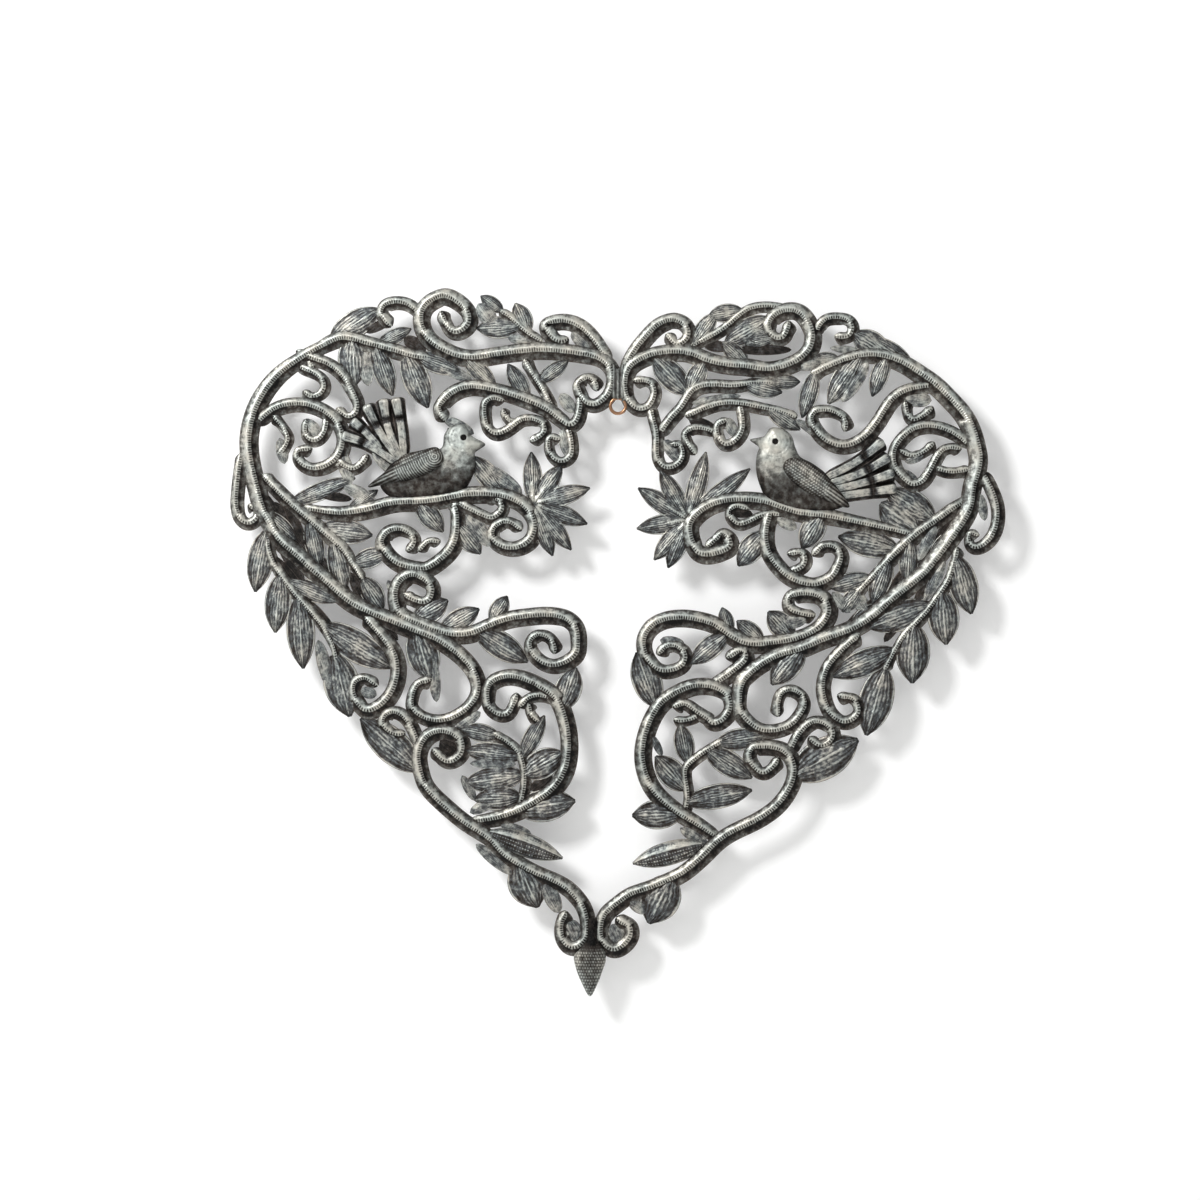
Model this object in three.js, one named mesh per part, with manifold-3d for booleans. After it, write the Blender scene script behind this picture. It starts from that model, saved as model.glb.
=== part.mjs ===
import * as THREE from "three";
import Module from "manifold-3d";

// Metal heart wall decoration. Millimetres, +Z up, +X to the right as seen from the front.
// The flat back lies in the plane y = 0 against the wall and the chased relief stands towards -Y.
// The origin is the centre of the small hanging hole at the top of the heart.

// Driving dimensions
const SHEET = 1.3;
const JOINT_GAP = 0.3;
const RIDGE_HEIGHT_SHARE = 0.4;
const RIDGE_LOWEST = 3.2;
const RIDGE_HIGHEST = 6.4;
const RIDGE_SHIFT = [1.7, -2.2];
const BORDER_SHIFTS = { left_border_stem: [0.6, -2], right_border_stem: [-0.6, -2.2] };
const HOLLOW_STEMS = ["border_stem", "crown_scroll", "tail_stem", "arm_scroll", "lower_ring"];
const CUT_DEPTH = 12;
const LEAF_RISE = 2.2;
const PETAL_WIDTH = 15;
const LOOP_WIRE = 2.5;
const LOOP_BORE = 9;
const BIRD_RELIEF = 8.5;
const WING_BACK = 3.5;
const WING_RELIEF = 10.5;
const BUD_WIDTH = 18;
const BUD_RELIEF = 7;
const FINIAL_RELIEF = 8;
const BRIDGE_RELIEF = 5;

// Sampling of the curves
const TURN_STEP = 0.55;
const LONGEST_STEP = 26;
const CHUNK_TURN = 2.6;

// Finish of the parts
const STEEL = { color: 0x6f7572, roughness: 0.46, metalness: 0.75 };
const DARK_STEEL = { color: 0x4f5251, roughness: 0.58, metalness: 0.7 };
const COPPER = { color: 0xb98e6e, roughness: 0.4, metalness: 0.85 };

// Crest lines and leaves of the stems, in order: a stem is cut clear of all the ones before it.
// A crest is a chain of [x, z] points with the stem's width at its start, middle and end.
// A leaf is [base x, base z, tip x, tip z, width].
const STEMS = {
  left_border_stem: {
    ridges: [
      {
        widths: [10, 16, 10],
        crest: [
          [-207, 52.5], [-226, 44], [-241, 35], [-254, 25.5], [-266, 11], [-273, -3], [-277, -19.5],
          [-277, -33], [-274.5, -47], [-270, -64.5], [-267, -76], [-261, -86], [-253, -100],
          [-241, -110], [-229.5, -121], [-218, -130.5], [-208.5, -139.5], [-197, -148], [-183, -154.5],
          [-168, -160.5], [-152, -167], [-136.5, -173], [-127, -179], [-117, -187], [-109, -196.5],
          [-105, -207], [-106, -216], [-112.5, -225], [-124, -232.5], [-135, -235], [-147, -232],
          [-154.5, -225], [-154.5, -216], [-150, -207], [-142.5, -205],
        ],
      },
      {
        widths: [10, 14, 12],
        crest: [
          [-226, 44], [-207, 52.5], [-187.5, 48], [-168, 43], [-152, 38], [-145, 37.5],
        ],
      },
    ],
    leaves: [
      [-215, 50, -178.5, 73, 20.5], [-180, 46, -155, 58, 12], [-199.5, 52, -196.5, 16, 24],
      [-182.5, 46.5, -169, 7.5, 17], [-159.5, 40, -142.5, -1.5, 20.5], [-152, 38, -118, 25.5, 15.5],
      [-265, -79.5, -241, -101, 14], [-152, -167, -140, -206, 25],
    ],
  },
  left_crown_scroll: {
    ridges: [
      {
        widths: [10, 15, 10],
        crest: [
          [-132, 68], [-130.5, 64], [-127, 58.5], [-122, 56], [-117, 58], [-113, 62], [-112.5, 68],
          [-115, 74], [-121.5, 80], [-130.5, 84], [-140, 81], [-146, 76], [-149, 68], [-148, 60],
          [-144, 52.5], [-138, 47], [-130.5, 43], [-121.5, 39], [-112, 37.5], [-106.5, 37.5],
          [-91.5, 40], [-77, 42], [-58.5, 43.5], [-39, 42], [-26, 40], [-16.5, 38], [-9, 33], [-5, 26],
          [-4.5, 19.5], [-7.5, 10], [-12, 5], [-18, 2], [-25, 4], [-29, 10], [-31, 16], [-28, 20],
          [-22.5, 22], [-18, 19], [-16.5, 14],
        ],
      },
      {
        widths: [11, 12, 10],
        crest: [
          [-172, 62], [-178, 70], [-175.5, 76.5], [-166, 79.5], [-156, 76.5], [-150, 71],
          [-145.5, 64.5],
        ],
      },
    ],
    leaves: [
      [-116.5, 38, -91, 13.5, 14],
    ],
  },
  left_tail_stem: {
    ridges: [
      {
        widths: [10, 14, 13],
        crest: [
          [-137, -259], [-130.5, -265], [-124, -265], [-118, -259], [-118, -250], [-124, -244.5],
          [-133.5, -242], [-142.5, -245], [-148.5, -252], [-151, -262], [-149, -273], [-145.5, -283],
          [-137, -292.5], [-127.5, -301], [-118, -309], [-106.5, -316.5], [-95, -324], [-88, -333],
          [-76.5, -341], [-64, -348], [-49.5, -354], [-40, -359], [-31.5, -367.5], [-26, -376.5],
          [-24, -386], [-24, -396], [-30, -403.5], [-37, -404], [-43, -397], [-43.5, -387], [-41, -382],
        ],
      },
    ],
    leaves: [
      [-149, -273, -193, -234, 26], [-75, -342, -60, -376, 29.5],
    ],
  },
  left_perch: {
    ridges: [
      {
        widths: [9, 15, 10],
        crest: [
          [-233, -76], [-221, -78], [-206, -79], [-187.5, -76], [-168, -71], [-148.5, -70.5],
          [-130, -68], [-115.5, -65], [-101, -64.5], [-87, -66], [-74, -71], [-66, -79.5], [-63, -89],
          [-67, -100], [-76, -105], [-85, -105], [-93, -100.5], [-95, -94], [-91.5, -88.5],
          [-83, -85.5], [-77, -88.5], [-74, -91],
        ],
      },
    ],
    leaves: [
      [-85.5, -66.5, -110, -37.5, 17], [-202, -78.5, -180, -63, 10.5], [-151, -70.5, -131, -94.5, 17],
    ],
  },
  left_second_stem: {
    ridges: [
      {
        widths: [11, 13, 7],
        crest: [
          [-264, -54], [-249, -69], [-233, -83], [-218, -96], [-206, -107], [-199, -118.5],
          [-192, -129],
        ],
      },
    ],
    leaves: [
      [-245, -72.5, -197, -54, 14], [-223.5, -91.5, -184, -97, 19], [-199, -118.5, -173, -109.5, 15.5],
      [-231.5, -85, -223.5, -121.5, 15.5], [-213.5, -100.5, -205, -139.5, 17],
      [-192, -129, -176, -153, 17],
    ],
  },
  left_outer_leaf_stem: {
    ridges: [
      {
        widths: [8, 10, 7],
        crest: [
          [-264, -94], [-262, -109.5], [-256.5, -121], [-249, -132], [-241, -142], [-232.5, -151.5],
          [-223.5, -162], [-218, -171], [-213, -182], [-212, -190],
        ],
      },
    ],
    leaves: [
      [-250, -130.5, -210, -147, 15.5], [-222, -164.5, -169, -196.5, 24], [-264, -94, -272, -139.5, 20],
      [-253, -126.5, -257, -170, 20], [-239.5, -143, -236, -197, 21.5],
      [-212.5, -186.5, -201, -233, 27.5],
    ],
  },
  left_arm_scroll: {
    ridges: [
      {
        widths: [10, 15, 10],
        crest: [
          [-158, -142], [-149, -146], [-142.5, -145], [-140, -136], [-145, -129], [-154, -125],
          [-163.5, -129], [-168, -138], [-167, -148.5], [-163, -156], [-151.5, -161], [-136.5, -167],
          [-123, -170], [-110, -169], [-97, -163], [-82.5, -158], [-67.5, -156], [-53, -155],
          [-39, -158], [-32, -166], [-31, -175.5], [-32, -184.5], [-39, -190.5], [-49, -193.5],
          [-58.5, -190.5], [-65, -184], [-67, -177], [-62, -171], [-55, -171], [-49, -177], [-48, -183],
        ],
      },
    ],
    leaves: [
      [-153, -160.5, -127.5, -145.5, 19], [-133, -168.5, -104, -152, 17], [-95, -162, -83, -142.5, 14],
      [-107, -167.5, -67.5, -192, 20.5],
    ],
  },
  left_lower_ring: {
    ridges: [
      {
        widths: [11, 15, 10],
        crest: [
          [-107, -310], [-92, -307.5], [-78, -303], [-64, -296], [-52, -288], [-43, -277],
          [-39, -265.5], [-38, -252], [-39, -241], [-42, -229], [-47, -217.5], [-57, -210], [-69, -204],
          [-80, -201], [-91.5, -203], [-98, -209], [-99, -217.5], [-97, -225], [-90, -230], [-83, -230],
          [-79.5, -224], [-77, -218],
        ],
      },
    ],
    leaves: [
      [-42.5, -227.5, -31.5, -196, 20.5], [-76, -302.5, -32, -296, 25],
    ],
  },
  left_ring_curl: {
    ridges: [
      {
        widths: [9, 10, 8],
        crest: [
          [-73, -223.5], [-67, -217.5], [-57, -216], [-48, -220.5],
        ],
      },
      {
        widths: [8, 9, 7],
        crest: [
          [-67, -225], [-66, -231], [-60, -235.5],
        ],
      },
    ],
    leaves: [],
  },
  left_ring_sprig: {
    ridges: [
      {
        widths: [8, 10, 10],
        crest: [
          [-92, -246], [-83, -251], [-74, -260], [-71, -271.5], [-71, -286], [-74, -298.5],
        ],
      },
    ],
    leaves: [
      [-72.5, -264, -55, -232, 14], [-89.5, -247.5, -118.5, -242, 14], [-73, -263, -115.5, -258, 17],
      [-71, -276.5, -115.5, -283, 20.5], [-73, -293, -108, -295, 19], [-71, -276.5, -41, -259.5, 22.5],
    ],
  },
  left_inner_arch: {
    ridges: [
      {
        widths: [11, 14, 10],
        crest: [
          [-131, -9], [-135, -1.5], [-130, 7], [-121, 13.5], [-110, 16], [-97, 14], [-82.5, 10.5],
          [-67.5, 5], [-53, -1.5], [-44, -9], [-36, -13.5], [-31.5, -10], [-29, -1.5], [-29, 8],
        ],
      },
    ],
    leaves: [
      [-67.5, 5, -82.5, 31.5, 14],
    ],
  },
  left_arch_sprig: {
    ridges: [
      {
        widths: [8, 10, 10],
        crest: [
          [-69, 33], [-63, 22], [-55, 10], [-49, -2],
        ],
      },
    ],
    leaves: [
      [-60, 17.5, -37, 34.5, 12],
    ],
  },
  left_crown_hook: {
    ridges: [
      {
        widths: [10, 14, 11],
        crest: [
          [-40, 50], [-43, 49], [-49.5, 52], [-53, 57], [-55, 61], [-49, 64.5], [-39, 65], [-29, 61],
          [-20, 52.5], [-13.5, 43.5], [-7.5, 36],
        ],
      },
    ],
    leaves: [],
  },
  left_crown_sprig: {
    ridges: [
      {
        widths: [10, 10, 7],
        crest: [
          [-59, 50], [-72, 58.5], [-81, 67.5], [-87, 71],
        ],
      },
    ],
    leaves: [
      [-86.5, 71, -103, 82.5, 11], [-67, 55, -77, 77, 15.5], [-73.5, 59.5, -106, 58, 17],
    ],
  },
  left_small_s_scroll: {
    ridges: [
      {
        widths: [8, 11, 9],
        crest: [
          [-87, 5], [-93, 7], [-100, 3], [-101, -6], [-98, -16], [-91, -20], [-82.5, -17], [-77, -12],
          [-72, -9], [-63, -9], [-56, -13.5], [-56, -20], [-64, -25],
        ],
      },
      {
        widths: [8, 8, 7],
        crest: [
          [-76.5, -11], [-82.5, -10.5], [-86, -4],
        ],
      },
    ],
    leaves: [],
  },
  left_corner_curl: {
    ridges: [
      {
        widths: [8, 10, 10],
        crest: [
          [-45, -24], [-51, -23], [-53, -30], [-49, -38], [-42, -41], [-36, -37], [-35, -28],
          [-37.5, -16.5],
        ],
      },
    ],
    leaves: [],
  },
  left_side_ring: {
    ridges: [
      {
        widths: [11, 13, 9],
        crest: [
          [-270, -11], [-259.5, -1.5], [-245, 3], [-230, 1.5], [-216, -6], [-208.5, -16], [-207, -28],
          [-213, -40], [-226, -46], [-235.5, -44], [-241, -38], [-240, -33], [-232, -31.5],
        ],
      },
      {
        widths: [9, 10, 8],
        crest: [
          [-219, -9], [-220, -18], [-226, -25], [-232, -24], [-235.5, -18], [-234, -12],
        ],
      },
      {
        widths: [8, 9, 7],
        crest: [
          [-257, -9], [-251, -16], [-247.5, -24], [-250.5, -31.5], [-254, -35],
        ],
      },
      {
        widths: [9, 10, 8],
        crest: [
          [-213, -38], [-206, -44], [-199, -46.5], [-193, -43.5], [-189, -38],
        ],
      },
    ],
    leaves: [],
  },
  left_side_curl: {
    ridges: [
      {
        widths: [9, 12, 8],
        crest: [
          [-238.5, 40.5], [-232, 37.5], [-218, 33], [-207, 24], [-200, 12], [-196, 4], [-197, -5],
          [-202.5, -7.5], [-209, -3],
        ],
      },
      {
        widths: [8, 10, 8],
        crest: [
          [-238.5, 30], [-235.5, 28.5], [-226.5, 25], [-221, 18], [-222, 11], [-229.5, 7.5], [-234, 10],
        ],
      },
      {
        widths: [10, 10, 10],
        crest: [
          [-231, 36], [-229.5, 26],
        ],
      },
    ],
    leaves: [],
  },
  left_edge_hook: {
    ridges: [
      {
        widths: [11, 12, 8],
        crest: [
          [-283.5, -39], [-285, -48], [-286.5, -62], [-287, -75], [-284, -83], [-277.5, -87],
          [-271.5, -84], [-271, -77], [-275, -75],
        ],
      },
    ],
    leaves: [],
  },
  left_hip_scroll: {
    ridges: [
      {
        widths: [11, 14, 9],
        crest: [
          [-187.5, -160.5], [-178, -171], [-170, -181.5], [-166.5, -190.5], [-166, -197], [-168, -208],
          [-173, -217.5], [-181.5, -225], [-189, -227], [-196.5, -220.5], [-199.5, -211.5],
          [-196.5, -205], [-189, -203], [-182, -208],
        ],
      },
    ],
    leaves: [],
  },
  left_hip_curl: {
    ridges: [
      {
        widths: [11, 12, 9],
        crest: [
          [-151, -251], [-154.5, -241.5], [-160, -232.5], [-168, -228], [-175, -231], [-177, -237],
          [-173, -242], [-168, -245], [-162, -245],
        ],
      },
    ],
    leaves: [],
  },
  left_under_perch_scroll: {
    ridges: [
      {
        widths: [10, 14, 9],
        crest: [
          [-125, -73], [-122, -76.5], [-121.5, -84], [-121.5, -94], [-125, -105], [-135, -115],
          [-145, -121], [-154, -120], [-163.5, -118], [-174, -110], [-178, -101], [-173, -93],
          [-163.5, -91], [-155, -96], [-153, -102], [-157, -107],
        ],
      },
      {
        widths: [8, 8, 7],
        crest: [
          [-148.5, -107], [-142.5, -100.5], [-135, -101],
        ],
      },
    ],
    leaves: [
      [-121, -88.5, -103, -111, 17],
    ],
  },
  left_perch_bar: {
    ridges: [
      {
        widths: [9, 11, 8],
        crest: [
          [-117, -73.5], [-108, -78], [-94.5, -83], [-87, -76], [-91, -69], [-98, -70],
        ],
      },
    ],
    leaves: [],
  },
  right_border_stem: {
    ridges: [
      {
        widths: [10, 16, 10],
        crest: [
          [147, 25.5], [160.5, 32], [175, 37.5], [190, 40], [203, 38], [217.5, 32], [227, 25.5],
          [238, 18], [249, 7], [259, -4], [265.5, -16], [269, -28], [271, -40], [269, -49],
          [265.5, -61], [264, -75], [258, -86], [249, -99], [240, -111], [229.5, -124], [217.5, -134],
          [203, -145.5], [190, -157], [175, -166], [155, -173], [136.5, -181], [121, -185], [108, -192],
          [99, -199], [93, -205.5], [91, -216], [91.5, -227], [97.5, -235], [107, -241.5],
          [118.5, -242], [130, -238], [135, -232.5], [140, -223.5], [138, -216], [130.5, -211.5],
          [123, -214], [120, -221], [120, -230],
        ],
      },
    ],
    leaves: [
      [203, 38, 175.5, 55, 20.5], [166, 34.5, 145.5, 35, 12], [148, 26, 138, -9, 14],
      [182.5, 39, 157.5, 1.5, 19], [201.5, 38.5, 190.5, 7, 14], [252.5, -94, 234, -115.5, 14],
      [198, -150, 174, -166.5, 15.5], [138.5, -180, 115, -209, 21.5], [220, 30.5, 187.5, 51, 15.5],
    ],
  },
  right_crown_scroll: {
    ridges: [
      {
        widths: [10, 15, 9],
        crest: [
          [127, 61], [123, 52], [115.5, 53], [112, 62], [118, 70.5], [128, 73.5], [136.5, 70.5],
          [142.5, 62], [145, 53], [142.5, 43.5], [136.5, 37], [125, 31.5], [111, 28.5], [97, 31],
          [82.5, 32], [67.5, 35], [53, 41], [39, 42], [25, 40], [13.5, 35], [7.5, 30], [4.5, 22],
          [4.5, 12], [7, 5], [12, 0], [16.5, -1.5], [22, 0], [25.5, 5], [27, 10.5], [25.5, 16],
          [22.5, 19], [19, 20], [14, 19.5],
        ],
      },
    ],
    leaves: [
      [115.5, 53, 90, 61, 12], [118, 51.5, 95, 46, 12], [97, 31, 78, 48, 14],
      [113, 65.5, 79.5, 46.5, 19],
    ],
  },
  right_tail_stem: {
    ridges: [
      {
        widths: [10, 14, 13],
        crest: [
          [118.5, -265.5], [114, -271.5], [108, -274], [101, -269], [97.5, -262], [101, -255],
          [112.5, -254], [123, -256.5], [130, -265], [131, -276], [126, -288], [118.5, -298],
          [108, -306], [97, -312], [90, -315], [76, -323], [61.5, -337], [47, -349], [33, -355.5],
          [19, -361], [8, -364.5], [-2, -372], [-11, -379.5], [-14, -389], [-13, -399], [-5, -406],
          [2, -404], [8, -397], [8, -389], [2, -385.5],
        ],
      },
    ],
    leaves: [
      [131, -277.5, 180, -250, 31], [40, -352.5, 23, -388, 30],
    ],
  },
  right_perch: {
    ridges: [
      {
        widths: [9, 15, 10],
        crest: [
          [67.5, -104], [73, -99], [78, -94.5], [83, -100], [83, -105], [76.5, -108], [70.5, -110],
          [61, -109.5], [55.5, -103.5], [52.5, -94], [52.5, -88.5], [56, -82], [63, -76], [73, -71],
          [85, -69], [101, -69], [115.5, -72], [125, -76], [136.5, -79], [155, -81], [175, -85],
          [193.5, -89], [217.5, -94.5],
        ],
      },
    ],
    leaves: [
      [153, -80.5, 138, -107, 19],
    ],
  },
  right_second_stem: {
    ridges: [
      {
        widths: [10, 13, 7],
        crest: [
          [262, -69], [249, -76.5], [237, -85.5], [226.5, -92], [216, -101], [205.5, -111],
          [196, -121.5], [187.5, -130.5], [179, -139.5],
        ],
      },
    ],
    leaves: [
      [225, -93.5, 196.5, -73, 31], [209.5, -107.5, 165, -98, 21.5], [189.5, -128.5, 159, -136.5, 15.5],
      [181.5, -137, 168, -154.5, 14], [218.5, -99, 217, -133, 15.5], [203, -113.5, 190.5, -148.5, 17],
      [237, -85.5, 201, -63, 24],
    ],
  },
  right_outer_leaf_stem: {
    ridges: [
      {
        widths: [8, 10, 7],
        crest: [
          [253.5, -108], [251, -118.5], [247, -130.5], [240, -141], [232.5, -151.5], [223, -162],
          [213, -172.5], [206, -184.5], [200, -196.5],
        ],
      },
    ],
    leaves: [
      [252.5, -112.5, 265, -156, 22.5], [242, -138.5, 246, -179, 24], [221.5, -163.5, 220.5, -208, 26],
      [200, -196.5, 186, -247, 26], [207, -183, 160.5, -203, 20.5], [234.5, -149, 187.5, -166.5, 22.5],
    ],
  },
  right_under_perch_scroll: {
    ridges: [
      {
        widths: [12, 14, 9],
        crest: [
          [112.5, -82], [110, -91], [109.5, -98], [111, -107], [115.5, -115], [121, -121.5],
          [128, -127.5], [136.5, -131], [145, -133], [153, -131], [160, -127], [164, -120],
          [166.5, -112.5], [164, -106.5], [158, -103.5], [151.5, -105], [147, -110],
        ],
      },
      {
        widths: [9, 11, 8],
        crest: [
          [126, -124], [134, -122], [139, -118], [139.5, -112.5], [136, -109], [129, -110],
        ],
      },
    ],
    leaves: [
      [109.5, -94.5, 90, -120, 19],
    ],
  },
  right_perch_bar: {
    ridges: [
      {
        widths: [8, 10, 9],
        crest: [
          [96, -76], [90, -74], [85, -76], [82.5, -80], [85.5, -85], [92, -88], [99, -85.5], [105, -82],
          [112.5, -80], [123, -81],
        ],
      },
    ],
    leaves: [],
  },
  right_arm_scroll: {
    ridges: [
      {
        widths: [10, 15, 10],
        crest: [
          [145, -156], [139, -155], [131, -153], [127, -148.5], [128, -142.5], [134, -139.5],
          [142.5, -139], [150, -141], [155, -146], [157, -153], [154, -160], [148, -166.5], [141, -170],
          [133, -173], [115.5, -176], [97, -177], [84, -171], [73, -163], [61, -159], [46, -157],
          [32, -159], [22.5, -165], [18, -174], [19, -184], [25, -193], [31, -197], [40, -197],
          [48, -193], [49.5, -185], [43.5, -179], [36, -179], [31, -184],
        ],
      },
    ],
    leaves: [
      [84, -171, 78, -151, 12], [108.5, -177, 89, -161, 14.5], [131, -173.5, 112.5, -154, 19],
      [82.5, -170, 54, -193.5, 17],
    ],
  },
  right_lower_ring: {
    ridges: [
      {
        widths: [11, 15, 10],
        crest: [
          [73.5, -322], [61, -313.5], [46, -304.5], [34.5, -296], [25, -286], [19, -273], [17, -259.5],
          [19, -246], [24, -232.5], [31.5, -221], [42, -214], [53, -209], [65, -208], [76, -211],
          [82.5, -217.5], [83, -227], [78, -234], [70, -237], [66, -232], [59, -229], [54, -224],
          [49, -222], [43.5, -224],
        ],
      },
      {
        widths: [8, 9, 8],
        crest: [
          [61, -231], [52.5, -235], [44, -235],
        ],
      },
    ],
    leaves: [
      [28.5, -225, 14, -184.5, 22.5], [47.5, -305.5, 10.5, -307, 22.5],
    ],
  },
  right_ring_curl: {
    ridges: [
      {
        widths: [11, 13, 10],
        crest: [
          [70.5, -208], [82.5, -200], [90, -194], [95, -189], [94.5, -184], [90, -183], [83, -187],
        ],
      },
    ],
    leaves: [],
  },
  right_ring_sprig: {
    ridges: [
      {
        widths: [7, 10, 9],
        crest: [
          [77, -251], [67.5, -256.5], [55.5, -265], [49.5, -271.5], [50, -280.5], [52, -292],
          [49.5, -304.5],
        ],
      },
    ],
    leaves: [
      [52.5, -267.5, 46.5, -238, 15.5], [51.5, -287.5, 28, -262.5, 20.5], [74.5, -252.5, 110, -247, 17],
      [66, -257.5, 100.5, -279, 19], [51, -297, 100.5, -288, 19],
    ],
  },
  right_inner_arch: {
    ridges: [
      {
        widths: [11, 12, 8],
        crest: [
          [31, -19.5], [40, -7], [48, 1], [53, 10.5], [61, 16], [73, 17], [87, 16], [101, 18],
          [114, 18],
        ],
      },
    ],
    leaves: [
      [114, 18, 136.5, 18, 12], [94, 17, 123, 10, 15.5], [52.5, 9.5, 26, 37, 20.5],
      [52.5, 9.5, 65, 34.5, 15.5],
    ],
  },
  right_arch_curl: {
    ridges: [
      {
        widths: [10, 11, 9],
        crest: [
          [53, -6], [63, -1.5], [77, 3], [91.5, 3], [106, 0], [121, -3], [132, -7],
        ],
      },
      {
        widths: [10, 11, 8],
        crest: [
          [91, 1], [93, -16], [88, -25], [80, -28], [74, -21], [74, -13.5], [80, -10.5],
        ],
      },
    ],
    leaves: [
      [111.5, -1, 136.5, -18, 14],
    ],
  },
  right_crown_hook: {
    ridges: [
      {
        widths: [11, 14, 9],
        crest: [
          [4, 29], [10.5, 41], [20, 53], [29, 62], [40, 66], [49, 62], [52, 54], [49, 49], [43.5, 46.5],
          [38, 52],
        ],
      },
    ],
    leaves: [],
  },
  right_crown_sprig: {
    ridges: [
      {
        widths: [8, 10, 10],
        crest: [
          [55.5, 46], [67.5, 52], [79.5, 59], [88.5, 67], [97, 73.5], [111, 76], [125, 74],
        ],
      },
    ],
    leaves: [
      [56.5, 46, 73.5, 70, 14], [93, 71.5, 67.5, 67.5, 14],
    ],
  },
  right_corner_curl: {
    ridges: [
      {
        widths: [8, 10, 8],
        crest: [
          [73, -19.5], [65, -16], [55.5, -16], [49.5, -21], [52.5, -28.5], [57, -34.5],
        ],
      },
      {
        widths: [10, 11, 8],
        crest: [
          [24, -2], [26, -11], [28.5, -19.5], [28.5, -26], [28.5, -37.5], [34.5, -45], [43, -44],
          [48, -37.5], [46, -28.5], [41, -28.5],
        ],
      },
    ],
    leaves: [],
  },
  right_top_curl: {
    ridges: [
      {
        widths: [10, 11, 9],
        crest: [
          [149, 55], [149, 59], [155, 66], [165, 67.5], [172, 65], [175, 59], [172.5, 53], [165, 52.5],
        ],
      },
    ],
    leaves: [],
  },
  right_s_scroll: {
    ridges: [
      {
        widths: [10, 13, 9],
        crest: [
          [236, 16], [223, 15], [210, 10.5], [202, 3], [196, -7], [190, -16], [182, -24],
          [172.5, -28.5], [163.5, -28.5], [154, -24], [147, -16.5], [144, -9], [148, -3], [157.5, -2],
          [165, -5], [170, -10.5], [170, -16.5],
        ],
      },
    ],
    leaves: [],
  },
  right_side_ring: {
    ridges: [
      {
        widths: [11, 12, 9],
        crest: [
          [262.5, -28.5], [254, -21], [244, -16], [232.5, -13.5], [220.5, -16], [212, -23],
          [206, -31.5], [205.5, -41], [209, -49], [212, -52], [220, -58], [228, -55.5], [233, -48],
          [237, -40], [241.5, -33], [249, -30], [255, -31],
        ],
      },
      {
        widths: [8, 9, 8],
        crest: [
          [235, -28.5], [228, -34.5], [220.5, -37], [213, -34],
        ],
      },
      {
        widths: [8, 10, 8],
        crest: [
          [234, -2], [228, -7], [220.5, -10], [216, -5], [215, 1.5],
        ],
      },
    ],
    leaves: [],
  },
  right_side_bar: {
    ridges: [
      {
        widths: [9, 10, 9],
        crest: [
          [238.5, -46], [249, -49], [261, -47],
        ],
      },
    ],
    leaves: [],
  },
  right_edge_hook: {
    ridges: [
      {
        widths: [11, 12, 8],
        crest: [
          [274.5, -52.5], [279, -62], [283, -73.5], [283, -86], [279, -97.5], [272, -104],
          [265.5, -105], [262, -100], [264, -94.5], [268.5, -96],
        ],
      },
    ],
    leaves: [],
  },
  right_hip_scroll: {
    ridges: [
      {
        widths: [11, 13, 9],
        crest: [
          [178, -172.5], [170, -179], [162, -187], [155, -196.5], [152, -209], [154, -220.5],
          [158, -229], [166, -235], [173, -235], [179, -230], [179, -223.5], [175, -218], [167, -217],
        ],
      },
    ],
    leaves: [],
  },
  right_hip_curl: {
    ridges: [
      {
        widths: [11, 12, 9],
        crest: [
          [128, -258], [134, -246], [141, -238], [148.5, -235], [156, -238], [160.5, -244.5],
          [158, -251], [151.5, -254], [145, -250],
        ],
      },
    ],
    leaves: [],
  },
};
// Outlines of the birds, with the line their relief is highest along
const BIRDS = {
  left: {
    body: [
      [-99.5, -29], [-109.5, -22.5], [-115.5, -14], [-124.5, -15], [-130, -21], [-132, -31], [-141, -34.5],
      [-156, -38], [-166.5, -40.5], [-175, -49.5], [-178.5, -58.5], [-174, -66], [-163.5, -70],
      [-145, -69], [-127.5, -67], [-115.5, -63], [-109.5, -54], [-106.5, -43.5], [-107, -35],
    ],
    bodySpine: [[-117, -26.5], [-122, -46.5], [-141, -54], [-162, -52]],
    wing: [
      [-130.5, -39], [-135, -31.5], [-147, -33.5], [-160, -37], [-171, -47], [-187, -61],
      [-171, -58], [-156, -55.5], [-142.5, -50.5], [-132, -44.5],
    ],
    wingSpine: [[-138, -39.5], [-173, -53]],
    tail: [
      [[-163.5, -44], [-190.5, -27], [-203, -23]],
      [[-178.5, -31.5], [-189, -19.5], [-196, -13.5]],
      [[-163.5, -40.5], [-178.5, -19.5], [-187, -3]],
      [[-163.5, -39], [-172.5, -16.5], [-175.5, 1]],
      [[-160.5, -37.5], [-163, -13.5], [-166, 2]],
    ],
  },
  right: {
    body: [
      [99, -25.5], [109.5, -22.5], [114.5, -16.5], [123, -17], [130, -22.5], [133, -31.5], [136.5, -38],
      [145.5, -43], [156, -51], [165, -63], [170, -74], [157.5, -79], [144, -79.5], [126.5, -77],
      [112.5, -71], [106.5, -60], [103.5, -48], [104, -37], [105.5, -31],
    ],
    bodySpine: [[120, -27.5], [117, -42], [125, -57], [148, -67.5]],
    wing: [
      [123, -46], [126, -40.5], [133.5, -39], [144, -43.5], [154.5, -52], [163.5, -61], [173, -76],
      [165, -75], [153, -70.5], [140, -64.5], [129, -56],
    ],
    wingSpine: [[133, -46.5], [163, -67]],
    tail: [
      [[154.5, -54], [180, -40.5], [195, -28.5]],
      [[156, -58.5], [183, -49.5], [199.5, -40]],
      [[157.5, -63], [184.5, -57], [202.5, -51]],
      [[159, -68], [186, -64.5], [204.5, -62]],
    ],
  },
};
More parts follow.
